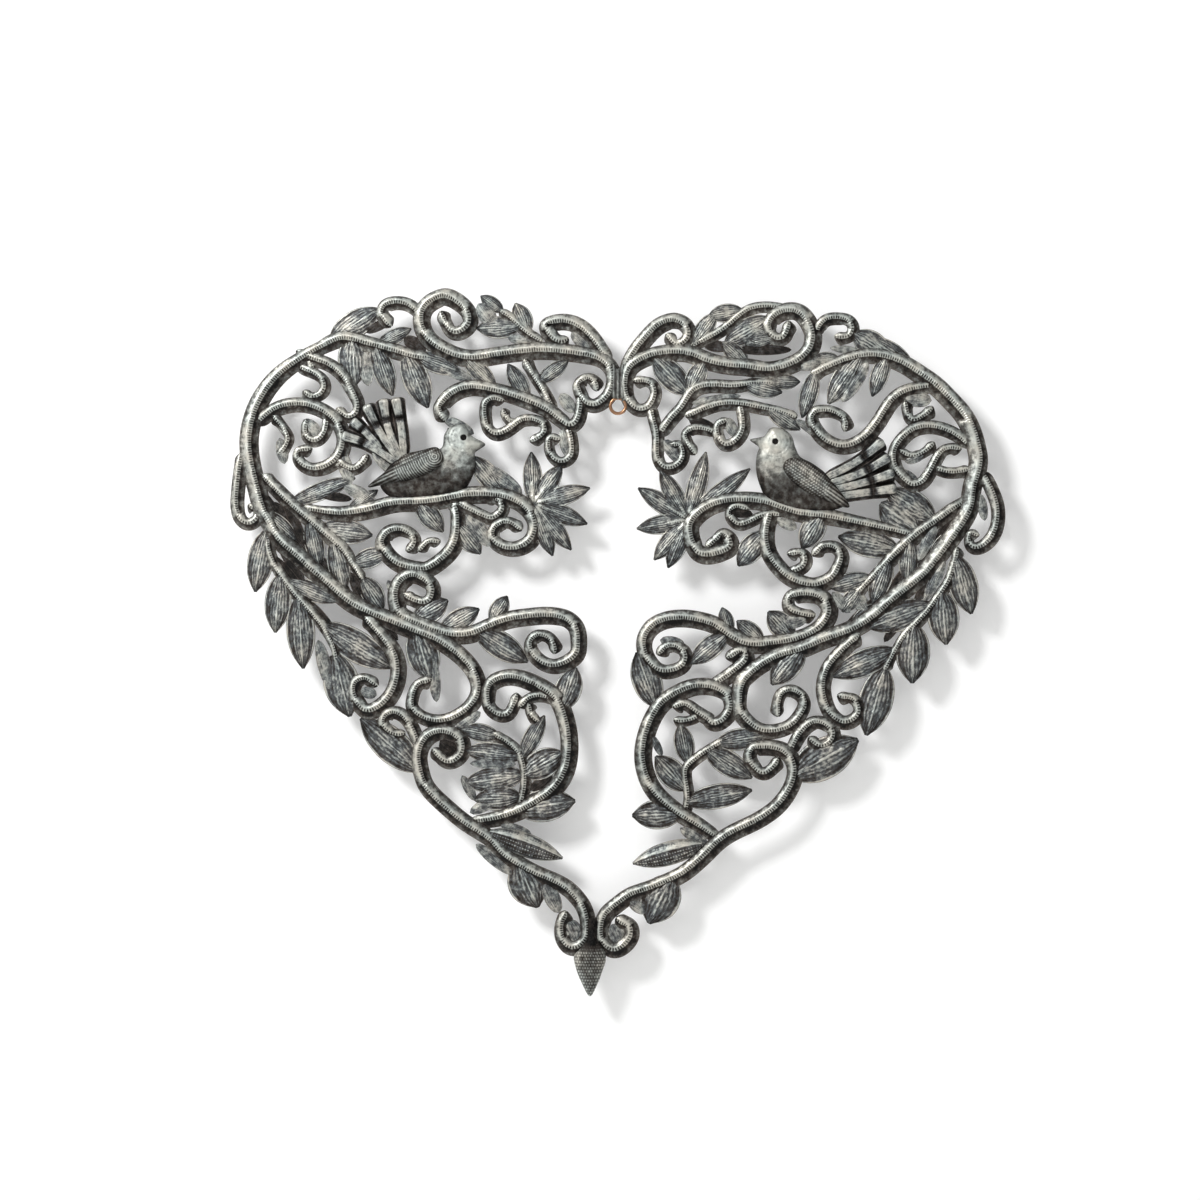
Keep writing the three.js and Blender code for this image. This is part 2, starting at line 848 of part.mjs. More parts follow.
const TAIL_WIDTHS = [6, 9, 10];

// Rosettes: the centre and the tips of the petals
const ROSETTES = {
  left: {
    centre: [-63, -73.5],
    tips: [[-65, -34.5], [-42, -44], [-21, -61.5], [-23, -88.5], [-35, -108], [-49, -112.5]],
  },
  right: {
    centre: [52.5, -85.5],
    tips: [[15, -61.5], [14, -92], [27, -115.5], [37.5, -121.5], [31.5, -48], [66, -34.5], [99, -47]],
  },
};

// Flower buds on the lower stems: base and tip
const BUDS = {
  left: [-96, -319.5, -41.5, -339],
  right: [63, -328.5, 11, -343],
};

// Bud that hangs below the two lowest scrolls
const FINIAL = [
  [-21, -442.5], [-27.5, -432], [-31.5, -421.5], [-33, -412.5], [-28.5, -406.5], [-24, -400.5],
  [-22.5, -384], [-15.5, -384], [-14.5, -400.5], [-11, -406.5], [-9, -414], [-12, -424.5], [-15.5, -433.5],
];
const FINIAL_SPINE = [[-20, -398], [-21, -424]];

// Plate that bridges the two halves above the hanging hole
const BRIDGE = [[-4, 31.5], [-0.5, 27.5], [4, 31.5], [5, 19.5], [5, 6.5], [-4, 6], [-5, 19.5]];
const BRIDGE_SPINE = [[0, 24], [0, 11]];

const wasm = await Module();
wasm.setup();

// Closed body from its points and the triangles between them, turned to face out
function solidOf(points, triangles) {
  let volume = 0;
  for (const [a, b, c] of triangles) {
    const [p, q, r] = [points[a], points[b], points[c]];
    volume += p[0] * (q[1] * r[2] - q[2] * r[1]);
    volume += p[1] * (q[2] * r[0] - q[0] * r[2]);
    volume += p[2] * (q[0] * r[1] - q[1] * r[0]);
  }
  const faces = volume < 0 ? triangles.map(([a, b, c]) => [a, c, b]) : triangles;
  return new wasm.Manifold(
    new wasm.Mesh({
      numProp: 3,
      vertProperties: new Float32Array(points.flat()),
      triVerts: new Uint32Array(faces.flat()),
    }),
  );
}

function union(solids) {
  return solids.reduce((all, one) => all.add(one));
}

// Body through rings of equal count, with a flat face over the first and the last ring
function loft(rings) {
  const count = rings[0].length;
  const triangles = [];
  for (let i = 0; i + 1 < rings.length; i++) {
    for (let k = 0; k < count; k++) {
      const a = i * count + k;
      const b = i * count + ((k + 1) % count);
      triangles.push([a, b, b + count], [a, b + count, a + count]);
    }
  }
  const last = (rings.length - 1) * count;
  const cap = (ring) => {
    const flat = ring.map((p) => new THREE.Vector2(...p.cap));
    const faces = THREE.ShapeUtils.triangulateShape(flat, []);
    return THREE.ShapeUtils.isClockWise(flat) ? faces.map(([a, b, c]) => [a, c, b]) : faces;
  };
  for (const [a, b, c] of cap(rings[0])) triangles.push([a, c, b]);
  for (const [a, b, c] of cap(rings.at(-1))) triangles.push([last + a, last + b, last + c]);
  return solidOf(rings.flat().map((p) => p.at), triangles);
}

// Points along a smooth curve, closer together where it turns
function walk(points) {
  const curve = new THREE.CatmullRomCurve3(
    points.map(([x, z]) => new THREE.Vector3(x, 0, z)),
    false,
    "centripetal",
  );
  const fine = points.length * 12;
  const places = curve.getPoints(fine);
  const kept = [];
  let turn = 0;
  let step = 0;
  let length = 0;
  let heading = null;
  places.forEach((p, i) => {
    const ahead = places[Math.min(i + 1, fine)];
    const behind = places[Math.max(i - 1, 0)];
    const angle = Math.atan2(ahead.z - behind.z, ahead.x - behind.x);
    if (i > 0) {
      const d = Math.hypot(p.x - behind.x, p.z - behind.z);
      const bend = Math.atan2(Math.sin(angle - heading), Math.cos(angle - heading));
      turn += bend;
      step += d;
      length += d;
    }
    heading = angle;
    const due = Math.abs(turn) > TURN_STEP || step > LONGEST_STEP;
    if (i === 0 || i === fine || due) {
      if (i === fine && kept.length > 1 && step < 1) kept.pop();
      kept.push({ x: p.x, z: p.z, angle, length, turn });
      turn = 0;
      step = 0;
    }
  });
  kept.forEach((k, i) => {
    const next = kept[Math.min(i + 1, kept.length - 1)];
    const last = kept[Math.max(i - 1, 0)];
    const run = next.length - last.length;
    const bend = Math.atan2(Math.sin(next.angle - last.angle), Math.cos(next.angle - last.angle));
    k.radius = Math.abs(bend) < 1e-3 ? 1e6 : run / bend;
    k.share = k.length / length;
  });
  return kept;
}

// Width at a share of the length: it swells from the start and thins towards the end
function widthAt([start, middle, end], share) {
  if (share < 0.2) return start + (middle - start) * Math.sin((share / 0.2) * (Math.PI / 2));
  if (share < 0.6) return middle;
  return middle + (end - middle) * ((share - 0.6) / 0.4) ** 1.5;
}

// One station of a ridge: back edge, rim, crest, rim, back edge
function ridgeRing(at, left, right, rim, height, back) {
  const nx = -Math.sin(at.angle);
  const nz = Math.cos(at.angle);
  const point = (side, depth) => ({
    at: [at.x + nx * side, -depth, at.z + nz * side],
    cap: [side, depth],
  });
  return [point(left, back), point(left, rim), point(0, height), point(-right, rim), point(-right, back)];
}

// One station of the upright clearance that a ridge or leaf cuts from later pieces
function cutterRing(at, left, right) {
  const nx = -Math.sin(at.angle);
  const nz = Math.cos(at.angle);
  const point = (side, depth) => ({
    at: [at.x + nx * side, -depth, at.z + nz * side],
    cap: [side, depth],
  });
  return [point(left, -1), point(left, CUT_DEPTH), point(-right, CUT_DEPTH), point(-right, -1)];
}

// Half widths either side of the crest, held short of the centre of a tight bend
function halfWidths(at, width, shift, grow) {
  const nx = -Math.sin(at.angle);
  const nz = Math.cos(at.angle);
  const lean = Math.max(-0.22 * width, Math.min(0.22 * width, nx * shift[0] + nz * shift[1]));
  let left = width / 2 + lean;
  let right = width / 2 - lean;
  const most = 0.82 * Math.abs(at.radius);
  if (at.radius > 0) left = Math.min(left, most);
  else right = Math.min(right, most);
  return [left + grow, right + grow];
}

// Ridge along a crest line as a body with blunt ends. A hollow is the same ridge, one sheet thinner.
function ridge({ widths, crest, shift = RIDGE_SHIFT }, { grow = 0, hollow = false } = {}) {
  const path = walk(crest);
  const first = path[0];
  const last = path.at(-1);
  const tip = (end, sign, reach) => ({
    ...end,
    x: end.x + sign * Math.cos(end.angle) * reach,
    z: end.z + sign * Math.sin(end.angle) * reach,
    narrow: 0.45,
  });
  const stations = hollow
    ? path.slice(1, -1)
    : [tip(first, -1, widths[0] * 0.3 + grow), ...path, tip(last, 1, widths[2] * 0.3 + grow)];
  const rings = stations.map((at) => {
    const width = widthAt(widths, at.share) * (at.narrow ?? 1);
    const [left, right] = halfWidths(at, width, shift, grow);
    const tall = Math.min(RIDGE_HIGHEST, Math.max(RIDGE_LOWEST, width * RIDGE_HEIGHT_SHARE));
    if (hollow) {
      const inner = (side) => Math.max(0.6, side - SHEET * 1.2);
      return ridgeRing(at, inner(left), inner(right), 0.1, tall - SHEET * 1.25, -1);
    }
    if (grow) return cutterRing(at, left, right);
    return ridgeRing(at, left, right, SHEET, tall, 0);
  });
  const chunks = [];
  let start = 0;
  let turned = 0;
  for (let i = 1; i < rings.length; i++) {
    turned += Math.abs(stations[i].turn ?? 0);
    if (i === rings.length - 1 || turned > CHUNK_TURN) {
      chunks.push(loft(rings.slice(start, i + 1)));
      start = Math.max(start, i - 1);
      turned = 0;
    }
  }
  return union(chunks);
}

// Leaf with a raised midrib, from its base to its pointed tip
function leaf([x0, z0, x1, z1, width], { grow = 0, rise = LEAF_RISE } = {}) {
  const angle = Math.atan2(z1 - z0, x1 - x0);
  const long = Math.hypot(x1 - x0, z1 - z0);
  const stations = [[0, 0.4], [0.28, 0.88], [0.55, 1], [0.82, 0.62], [1, 0.14]];
  const rings = stations.map(([u, wide], i) => {
    const ends = i === 0 ? -grow : i === stations.length - 1 ? grow : 0;
    const at = {
      angle,
      x: x0 + Math.cos(angle) * (long * u + ends),
      z: z0 + Math.sin(angle) * (long * u + ends),
    };
    const half = (wide * width) / 2 + grow;
    if (grow) return cutterRing(at, half, half);
    return ridgeRing(at, half, half, SHEET, SHEET + rise * Math.sqrt(wide), 0);
  });
  return loft(rings);
}

// Nearest point of a chain of points
function nearestOn(spine, [x, z]) {
  let best = null;
  for (let i = 0; i + 1 < spine.length; i++) {
    const [ax, az] = spine[i];
    const [bx, bz] = spine[i + 1];
    const run = (bx - ax) ** 2 + (bz - az) ** 2;
    const t = Math.max(0, Math.min(1, ((x - ax) * (bx - ax) + (z - az) * (bz - az)) / run));
    const at = [ax + (bx - ax) * t, az + (bz - az) * t];
    const d = Math.hypot(x - at[0], z - at[1]);
    if (!best || d < best.d) best = { at, d };
  }
  return best.at;
}

// Rounded relief over an outline, highest along its spine
function relief(outline, spine, { grow = 0, back = 0, rim = SHEET, high }) {
  const centre = outline.map((p) => nearestOn(spine, p));
  const out = outline.map(([x, z], i) => {
    const [cx, cz] = centre[i];
    const d = Math.hypot(x - cx, z - cz) || 1;
    return [x + ((x - cx) / d) * grow, z + ((z - cz) / d) * grow];
  });
  const ring = (share, depth) =>
    out.map(([x, z], i) => {
      const px = x + (centre[i][0] - x) * share;
      const pz = z + (centre[i][1] - z) * share;
      return { at: [px, -depth, pz], cap: [px, pz] };
    });
  const top = high + grow;
  const at = (share) => rim + (top - rim) * Math.sqrt(1 - (1 - share) ** 2);
  return loft([ring(0, back), ring(0, rim + grow), ring(0.3, at(0.3)), ring(0.62, at(0.62)), ring(0.9, top)]);
}

// Round wire ring around the hanging hole
function wireRing(grow = 0) {
  const radius = (LOOP_BORE + LOOP_WIRE) / 2;
  const wire = LOOP_WIRE / 2 + grow;
  const depth = LOOP_WIRE / 2 + JOINT_GAP;
  const around = 20;
  const section = 8;
  const points = [];
  const triangles = [];
  for (let i = 0; i < around; i++) {
    const a = (i / around) * Math.PI * 2;
    for (let k = 0; k < section; k++) {
      const b = ((k + 0.5) / section) * Math.PI * 2;
      const r = radius + wire * Math.cos(b);
      points.push([r * Math.cos(a), -depth + wire * Math.sin(b), r * Math.sin(a)]);
      const ia = i * section;
      const ib = ((i + 1) % around) * section;
      const kb = (k + 1) % section;
      triangles.push([ia + k, ib + k, ib + kb], [ia + k, ib + kb, ia + kb]);
    }
  }
  return solidOf(points, triangles);
}

// Each piece as its own body and as the same body grown by the joint gap, which cuts the later ones clear
const pieces = [];
function add(name, finish, make) {
  pieces.push({ name, finish, body: make(0), grown: make(JOINT_GAP) });
}

function stem(data) {
  return (grow) => {
    const solid = data.ridges.map((r) => ridge({ ...r, shift: data.shift }, { grow }));
    const leaves = data.leaves.map((l) => leaf(l, { grow }));
    const whole = union([...solid, ...leaves]);
    if (grow) return whole;
    if (!data.hollow) return whole;
    return whole.subtract(ridge({ ...data.ridges[0], shift: data.shift }, { hollow: true }));
  };
}

add("hanging_loop", COPPER, (grow) => wireRing(grow));
add("bridge_plate", STEEL, (grow) =>
  relief(BRIDGE, BRIDGE_SPINE, { grow, back: grow ? -1 : 0, rim: 3, high: BRIDGE_RELIEF }),
);
add("finial_bud", STEEL, (grow) =>
  relief(FINIAL, FINIAL_SPINE, { grow, back: grow ? -1 : 0, rim: 2.6, high: FINIAL_RELIEF }),
);
for (const name of ["left_perch", "right_perch"]) add(name, STEEL, stem({ ...STEMS[name], hollow: true }));
for (const side of ["left", "right"]) {
  const bird = BIRDS[side];
  add(side + "_bird_wing", STEEL, (grow) =>
    relief(bird.wing, bird.wingSpine, { grow, back: WING_BACK - grow, rim: 5.5, high: WING_RELIEF }),
  );
  add(side + "_bird_body", STEEL, (grow) =>
    relief(bird.body, bird.bodySpine, { grow, back: grow ? -1 : 0, rim: 2.2, high: BIRD_RELIEF }),
  );
  add(side + "_bird_tail", STEEL, (grow) =>
    union(bird.tail.map((crest) => ridge({ widths: TAIL_WIDTHS, crest, shift: [0, 0] }, { grow }))),
  );
  const [bx, bz, tx, tz] = BUDS[side];
  add(side + "_bud", DARK_STEEL, (grow) =>
    leaf([bx, bz, tx, tz, BUD_WIDTH], { grow, rise: BUD_RELIEF - SHEET }),
  );
}
for (const [name, data] of Object.entries(STEMS)) {
  const shift = BORDER_SHIFTS[name] ?? RIDGE_SHIFT;
  const hollow = HOLLOW_STEMS.some((kind) => name.endsWith("_" + kind));
  if (!name.endsWith("_perch")) add(name, STEEL, stem({ ...data, shift, hollow }));
}
for (const side of ["left", "right"]) {
  const { centre, tips } = ROSETTES[side];
  add(side + "_rosette", DARK_STEEL, (grow) =>
    union(tips.map(([x, z]) => leaf([...centre, x, z, PETAL_WIDTH], { grow }))),
  );
}

// Every piece is cut clear of the ones before it, and its largest body is kept
const group = new THREE.Group();
pieces.forEach((piece, i) => {
  let body = piece.body;
  for (const other of pieces.slice(0, i)) body = body.subtract(other.grown);
  const bodies = body.decompose().sort((a, b) => b.volume() - a.volume());
  const mesh = bodies[0].getMesh();
  const geometry = new THREE.BufferGeometry();
  geometry.setAttribute("position", new THREE.BufferAttribute(new Float32Array(mesh.vertProperties), 3));
  geometry.setIndex(new THREE.BufferAttribute(new Uint32Array(mesh.triVerts), 1));
  geometry.computeVertexNormals();
  const made = new THREE.Mesh(geometry, new THREE.MeshStandardMaterial(piece.finish));
  made.name = piece.name;
  group.add(made);
});

export default group;
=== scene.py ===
import math

import bpy
import numpy as np
from bpy.props import FloatProperty, FloatVectorProperty, PointerProperty
from bpy.types import Operator, Panel, PropertyGroup
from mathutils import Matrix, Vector


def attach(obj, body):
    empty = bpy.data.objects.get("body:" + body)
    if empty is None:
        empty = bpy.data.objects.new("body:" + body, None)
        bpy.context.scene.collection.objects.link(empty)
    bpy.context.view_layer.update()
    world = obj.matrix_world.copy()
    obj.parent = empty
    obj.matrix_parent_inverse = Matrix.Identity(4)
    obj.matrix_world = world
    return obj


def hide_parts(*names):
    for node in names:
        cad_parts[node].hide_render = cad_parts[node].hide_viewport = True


bl_info = {
    "name": "Metal Heart Wall Decoration",
    "version": (1, 0, 0),
    "blender": (4, 5, 0),
    "location": "View3D > Sidebar > Heart",
    "description": "Builds an openwork wall heart of chased steel scrolls, leaves and two birds",
    "category": "Add Mesh",
}

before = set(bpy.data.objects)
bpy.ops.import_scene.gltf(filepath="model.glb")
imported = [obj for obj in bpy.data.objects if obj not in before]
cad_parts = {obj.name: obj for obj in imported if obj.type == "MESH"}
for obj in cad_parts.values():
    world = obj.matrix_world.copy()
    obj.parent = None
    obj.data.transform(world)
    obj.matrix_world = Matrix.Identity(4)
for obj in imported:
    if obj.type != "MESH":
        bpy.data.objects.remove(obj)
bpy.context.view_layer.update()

MM = 0.001

# Crest lines and leaves of the stems, in millimetres from the centre of the hanging hole.
# A ridge is its widths at the start, middle and end, and the [x, z] points its crest runs through.
# A leaf is its base x and z, its tip x and z, and its width. A web is a flat patch of sheet between
# stems and a pit is a low one painted nearly black as painted shade, where deep shade falls, both given the
# same way.
STEMS = {
    "left_border_stem": {
        "ridges": [
            ((10, 16, 10), [
                (-207, 52.5), (-226, 44), (-241, 35), (-254, 25.5), (-266, 11), (-273, -3), (-277, -19.5),
                (-277, -33), (-274.5, -47), (-270, -64.5), (-267, -76), (-261, -86), (-253, -100),
                (-241, -110), (-229.5, -121), (-218, -130.5), (-208.5, -139.5), (-197, -148), (-183, -154.5),
                (-168, -160.5), (-152, -167), (-136.5, -173), (-127, -179), (-117, -187), (-109, -196.5),
                (-105, -207), (-106, -216), (-112.5, -225), (-124, -232.5), (-135, -235), (-147, -232),
                (-154.5, -225), (-154.5, -216), (-150, -207), (-142.5, -205),
            ]),
            ((10, 14, 12), [
                (-226, 44), (-207, 52.5), (-187.5, 48), (-168, 43), (-152, 38), (-145, 37.5),
            ]),
        ],
        "leaves": [
            (-215, 50, -178.5, 73, 20.5), (-180, 46, -155, 58, 12), (-199.5, 52, -196.5, 16, 24),
            (-182.5, 46.5, -169, 7.5, 17), (-159.5, 40, -142.5, -1.5, 20.5), (-152, 38, -118, 25.5, 15.5),
            (-265, -79.5, -241, -101, 14), (-152, -167, -140, -206, 25),
        ],
        "webs": [
            (-139.5, -187, -136, -222, 9), (-121.5, -241, -103, -229.5, 9),
        ],
        "shade_webs": [
            (-258, -72, -229.5, -112.5, 11), (-234, -106.5, -199.5, -145.5, 13),
            (-267, -64.5, -253.5, -85.5, 7.5), (-253.5, -106.5, -235, -132, 7.5),
            (-201, -124.5, -189, -151.5, 8), (-160.5, 51, -144, 41, 11),
        ],
    },
    "left_crown_scroll": {
        "ridges": [
            ((10, 15, 10), [
                (-132, 68), (-130.5, 64), (-127, 58.5), (-122, 56), (-117, 58), (-113, 62), (-112.5, 68),
                (-115, 74), (-121.5, 80), (-130.5, 84), (-140, 81), (-146, 76), (-149, 68), (-148, 60),
                (-144, 52.5), (-138, 47), (-130.5, 43), (-121.5, 39), (-112, 37.5), (-106.5, 37.5),
                (-91.5, 40), (-77, 42), (-58.5, 43.5), (-39, 42), (-26, 40), (-16.5, 38), (-9, 33), (-5, 26),
                (-4.5, 19.5), (-7.5, 10), (-12, 5), (-18, 2), (-25, 4), (-29, 10), (-31, 16), (-28, 20),
                (-22.5, 22), (-18, 19), (-16.5, 14),
            ]),
            ((11, 12, 10), [
                (-172, 62), (-178, 70), (-175.5, 76.5), (-166, 79.5), (-156, 76.5), (-150, 71), (-145.5, 64.5),
            ]),
        ],
        "leaves": [
            (-116.5, 38, -91, 13.5, 14),
        ],
        "webs": [
            (-35, 55.5, -21, 41, 9), (-82.5, 51, -65, 48, 7.5),
        ],
        "shade_webs": [
            (-189, 55, -168, 66, 7.5),
        ],
    },
    "left_tail_stem": {
        "ridges": [
            ((10, 14, 13), [
                (-137, -259), (-130.5, -265), (-124, -265), (-118, -259), (-118, -250), (-124, -244.5),
                (-133.5, -242), (-142.5, -245), (-148.5, -252), (-151, -262), (-149, -273), (-145.5, -283),
                (-137, -292.5), (-127.5, -301), (-118, -309), (-106.5, -316.5), (-95, -324), (-88, -333),
                (-76.5, -341), (-64, -348), (-49.5, -354), (-40, -359), (-31.5, -367.5), (-26, -376.5),
                (-24, -386), (-24, -396), (-30, -403.5), (-37, -404), (-43, -397), (-43.5, -387), (-41, -382),
            ]),
        ],
        "leaves": [
            (-149, -273, -193, -234, 26), (-75, -342, -60, -376, 29.5),
        ],
        "webs": [
            (-117, -277, -107, -296, 7.5), (-106.5, -328.5, -79.5, -351, 9), (-55, -357, -44, -380, 12),
            (-39, -385.5, -30, -403.5, 16.5),
        ],
        "shade_webs": [
            (-133.5, -251, -119, -263, 12),
        ],
    },
    "left_perch": {
        "ridges": [
            ((9, 15, 10), [
                (-233, -76), (-221, -78), (-206, -79), (-187.5, -76), (-168, -71), (-148.5, -70.5),
                (-130, -68), (-115.5, -65), (-101, -64.5), (-87, -66), (-74, -71), (-66, -79.5), (-63, -89),
                (-67, -100), (-76, -105), (-85, -105), (-93, -100.5), (-95, -94), (-91.5, -88.5), (-83, -85.5),
                (-77, -88.5), (-74, -91),
            ]),
        ],
        "leaves": [
            (-85.5, -66.5, -110, -37.5, 17), (-202, -78.5, -180, -63, 10.5), (-151, -70.5, -131, -94.5, 17),
        ],
        "webs": [
            (-103.5, -45, -72, -66, 13.5), (-114, -81, -94.5, -105, 13.5), (-205.5, -60, -183, -70.5, 10),
        ],
        "shade_webs": [
            (-225, -66, -199.5, -70, 7),
        ],
    },
    "left_second_stem": {
        "ridges": [
            ((11, 13, 7), [
                (-264, -54), (-249, -69), (-233, -83), (-218, -96), (-206, -107), (-199, -118.5), (-192, -129),
            ]),
        ],
        "leaves": [
            (-245, -72.5, -197, -54, 14), (-223.5, -91.5, -184, -97, 19), (-199, -118.5, -173, -109.5, 15.5),
            (-231.5, -85, -223.5, -121.5, 15.5), (-213.5, -100.5, -205, -139.5, 17),
            (-192, -129, -176, -153, 17),
        ],
        "shade_webs": [
            (-250, -70.5, -234, -105, 8),
        ],
    },
    "left_outer_leaf_stem": {
        "ridges": [
            ((8, 10, 7), [
                (-264, -94), (-262, -109.5), (-256.5, -121), (-249, -132), (-241, -142), (-232.5, -151.5),
                (-223.5, -162), (-218, -171), (-213, -182), (-212, -190),
            ]),
        ],
        "leaves": [
            (-250, -130.5, -210, -147, 15.5), (-222, -164.5, -169, -196.5, 24), (-264, -94, -272, -139.5, 20),
            (-253, -126.5, -257, -170, 20), (-239.5, -143, -236, -197, 21.5),
            (-212.5, -186.5, -201, -233, 27.5),
        ],
        "webs": [
            (-225, -175.5, -215, -213, 10.5),
        ],
        "shade_webs": [
            (-258, -112.5, -229.5, -150, 9), (-232.5, -145.5, -208.5, -175.5, 7.5),
        ],
    },
    "left_arm_scroll": {
        "ridges": [
            ((10, 15, 10), [
                (-158, -142), (-149, -146), (-142.5, -145), (-140, -136), (-145, -129), (-154, -125),
                (-163.5, -129), (-168, -138), (-167, -148.5), (-163, -156), (-151.5, -161), (-136.5, -167),
                (-123, -170), (-110, -169), (-97, -163), (-82.5, -158), (-67.5, -156), (-53, -155),
                (-39, -158), (-32, -166), (-31, -175.5), (-32, -184.5), (-39, -190.5), (-49, -193.5),
                (-58.5, -190.5), (-65, -184), (-67, -177), (-62, -171), (-55, -171), (-49, -177), (-48, -183),
            ]),
        ],
        "leaves": [
            (-153, -160.5, -127.5, -145.5, 19), (-133, -168.5, -104, -152, 17), (-95, -162, -83, -142.5, 14),
            (-107, -167.5, -67.5, -192, 20.5),
        ],
        "webs": [
            (-172.5, -130.5, -162, -153, 7.5),
        ],
    },
    "left_lower_ring": {
        "ridges": [
            ((11, 15, 10), [
                (-107, -310), (-92, -307.5), (-78, -303), (-64, -296), (-52, -288), (-43, -277), (-39, -265.5),
                (-38, -252), (-39, -241), (-42, -229), (-47, -217.5), (-57, -210), (-69, -204), (-80, -201),
                (-91.5, -203), (-98, -209), (-99, -217.5), (-97, -225), (-90, -230), (-83, -230),
                (-79.5, -224), (-77, -218),
            ]),
        ],
        "leaves": [
            (-42.5, -227.5, -31.5, -196, 20.5), (-76, -302.5, -32, -296, 25),
        ],
        "webs": [
            (-111, -305, -91.5, -295.5, 9), (-88.5, -313.5, -65, -321, 7.5),
        ],
        "shade_webs": [
            (-66, -288, -49, -277, 9),
        ],
    },
    "left_ring_curl": {
        "ridges": [
            ((9, 10, 8), [
                (-73, -223.5), (-67, -217.5), (-57, -216), (-48, -220.5),
            ]),
            ((8, 9, 7), [
                (-67, -225), (-66, -231), (-60, -235.5),
            ]),
        ],
    },
    "left_ring_sprig": {
        "ridges": [
            ((8, 10, 10), [
                (-92, -246), (-83, -251), (-74, -260), (-71, -271.5), (-71, -286), (-74, -298.5),
            ]),
        ],
        "leaves": [
            (-72.5, -264, -55, -232, 14), (-89.5, -247.5, -118.5, -242, 14), (-73, -263, -115.5, -258, 17),
            (-71, -276.5, -115.5, -283, 20.5), (-73, -293, -108, -295, 19), (-71, -276.5, -41, -259.5, 22.5),
        ],
        "webs": [
            (-111, -268, -76.5, -268.5, 7.5),
        ],
    },
    "left_inner_arch": {
        "ridges": [
            ((11, 14, 10), [
                (-131, -9), (-135, -1.5), (-130, 7), (-121, 13.5), (-110, 16), (-97, 14), (-82.5, 10.5),
                (-67.5, 5), (-53, -1.5), (-44, -9), (-36, -13.5), (-31.5, -10), (-29, -1.5), (-29, 8),
            ]),
        ],
        "leaves": [
            (-67.5, 5, -82.5, 31.5, 14),
        ],
        "webs": [
            (-133.5, 30, -109.5, 19.5, 9), (-43.5, 9, -32, -5, 10), (-131, -9, -108, -21, 9),
        ],
        "shade_webs": [
            (-127.5, -16.5, -119, -33, 8),
        ],
    },
    "left_arch_sprig": {
        "ridges": [
            ((8, 10, 10), [
                (-69, 33), (-63, 22), (-55, 10), (-49, -2),
            ]),
        ],
        "leaves": [
            (-60, 17.5, -37, 34.5, 12),
        ],
    },
    "left_crown_hook": {
        "ridges": [
            ((10, 14, 11), [
                (-40, 50), (-43, 49), (-49.5, 52), (-53, 57), (-55, 61), (-49, 64.5), (-39, 65), (-29, 61),
                (-20, 52.5), (-13.5, 43.5), (-7.5, 36),
            ]),
        ],
    },
    "left_crown_sprig": {
        "ridges": [
            ((10, 10, 7), [
                (-59, 50), (-72, 58.5), (-81, 67.5), (-87, 71),
            ]),
        ],
        "leaves": [
            (-86.5, 71, -103, 82.5, 11), (-67, 55, -77, 77, 15.5), (-73.5, 59.5, -106, 58, 17),
        ],
        "webs": [
            (-105, 76.5, -92, 60, 13),
        ],
    },
    "left_small_s_scroll": {
        "ridges": [
            ((8, 11, 9), [
                (-87, 5), (-93, 7), (-100, 3), (-101, -6), (-98, -16), (-91, -20), (-82.5, -17), (-77, -12),
                (-72, -9), (-63, -9), (-56, -13.5), (-56, -20), (-64, -25),
            ]),
            ((8, 8, 7), [
                (-76.5, -11), (-82.5, -10.5), (-86, -4),
            ]),
        ],
    },
    "left_corner_curl": {
        "ridges": [
            ((8, 10, 10), [
                (-45, -24), (-51, -23), (-53, -30), (-49, -38), (-42, -41), (-36, -37), (-35, -28),
                (-37.5, -16.5),
            ]),
        ],
        "webs": [
            (-42, -18, -36, -39, 10),
        ],
    },
    "left_side_ring": {
        "ridges": [
            ((11, 13, 9), [
                (-270, -11), (-259.5, -1.5), (-245, 3), (-230, 1.5), (-216, -6), (-208.5, -16), (-207, -28),
                (-213, -40), (-226, -46), (-235.5, -44), (-241, -38), (-240, -33), (-232, -31.5),
            ]),
            ((9, 10, 8), [
                (-219, -9), (-220, -18), (-226, -25), (-232, -24), (-235.5, -18), (-234, -12),
            ]),
            ((8, 9, 7), [
                (-257, -9), (-251, -16), (-247.5, -24), (-250.5, -31.5), (-254, -35),
            ]),
            ((9, 10, 8), [
                (-213, -38), (-206, -44), (-199, -46.5), (-193, -43.5), (-189, -38),
            ]),
        ],
        "webs": [
            (-236, -10.5, -223, -22.5, 10.5), (-253.5, -24, -250, -43.5, 9), (-184.5, -34.5, -165, -54, 7.5),
            (-208.5, -33, -200, -58.5, 11), (-229.5, -48, -205, -42, 7.5),
        ],
    },
    "left_side_curl": {
        "ridges": [
            ((9, 12, 8), [
                (-238.5, 40.5), (-232, 37.5), (-218, 33), (-207, 24), (-200, 12), (-196, 4), (-197, -5),
                (-202.5, -7.5), (-209, -3),
            ]),
            ((8, 10, 8), [
                (-238.5, 30), (-235.5, 28.5), (-226.5, 25), (-221, 18), (-222, 11), (-229.5, 7.5), (-234, 10),
            ]),
            ((10, 10, 10), [
                (-231, 36), (-229.5, 26),
            ]),
        ],
        "webs": [
            (-190, 40.5, -187.5, 15, 10.5),
        ],
    },
    "left_edge_hook": {
        "ridges": [
            ((11, 12, 8), [
                (-283.5, -39), (-285, -48), (-286.5, -62), (-287, -75), (-284, -83), (-277.5, -87),
                (-271.5, -84), (-271, -77), (-275, -75),
            ]),
        ],
    },
    "left_hip_scroll": {
        "ridges": [
            ((11, 14, 9), [
                (-187.5, -160.5), (-178, -171), (-170, -181.5), (-166.5, -190.5), (-166, -197), (-168, -208),
                (-173, -217.5), (-181.5, -225), (-189, -227), (-196.5, -220.5), (-199.5, -211.5),
                (-196.5, -205), (-189, -203), (-182, -208),
            ]),
        ],
        "webs": [
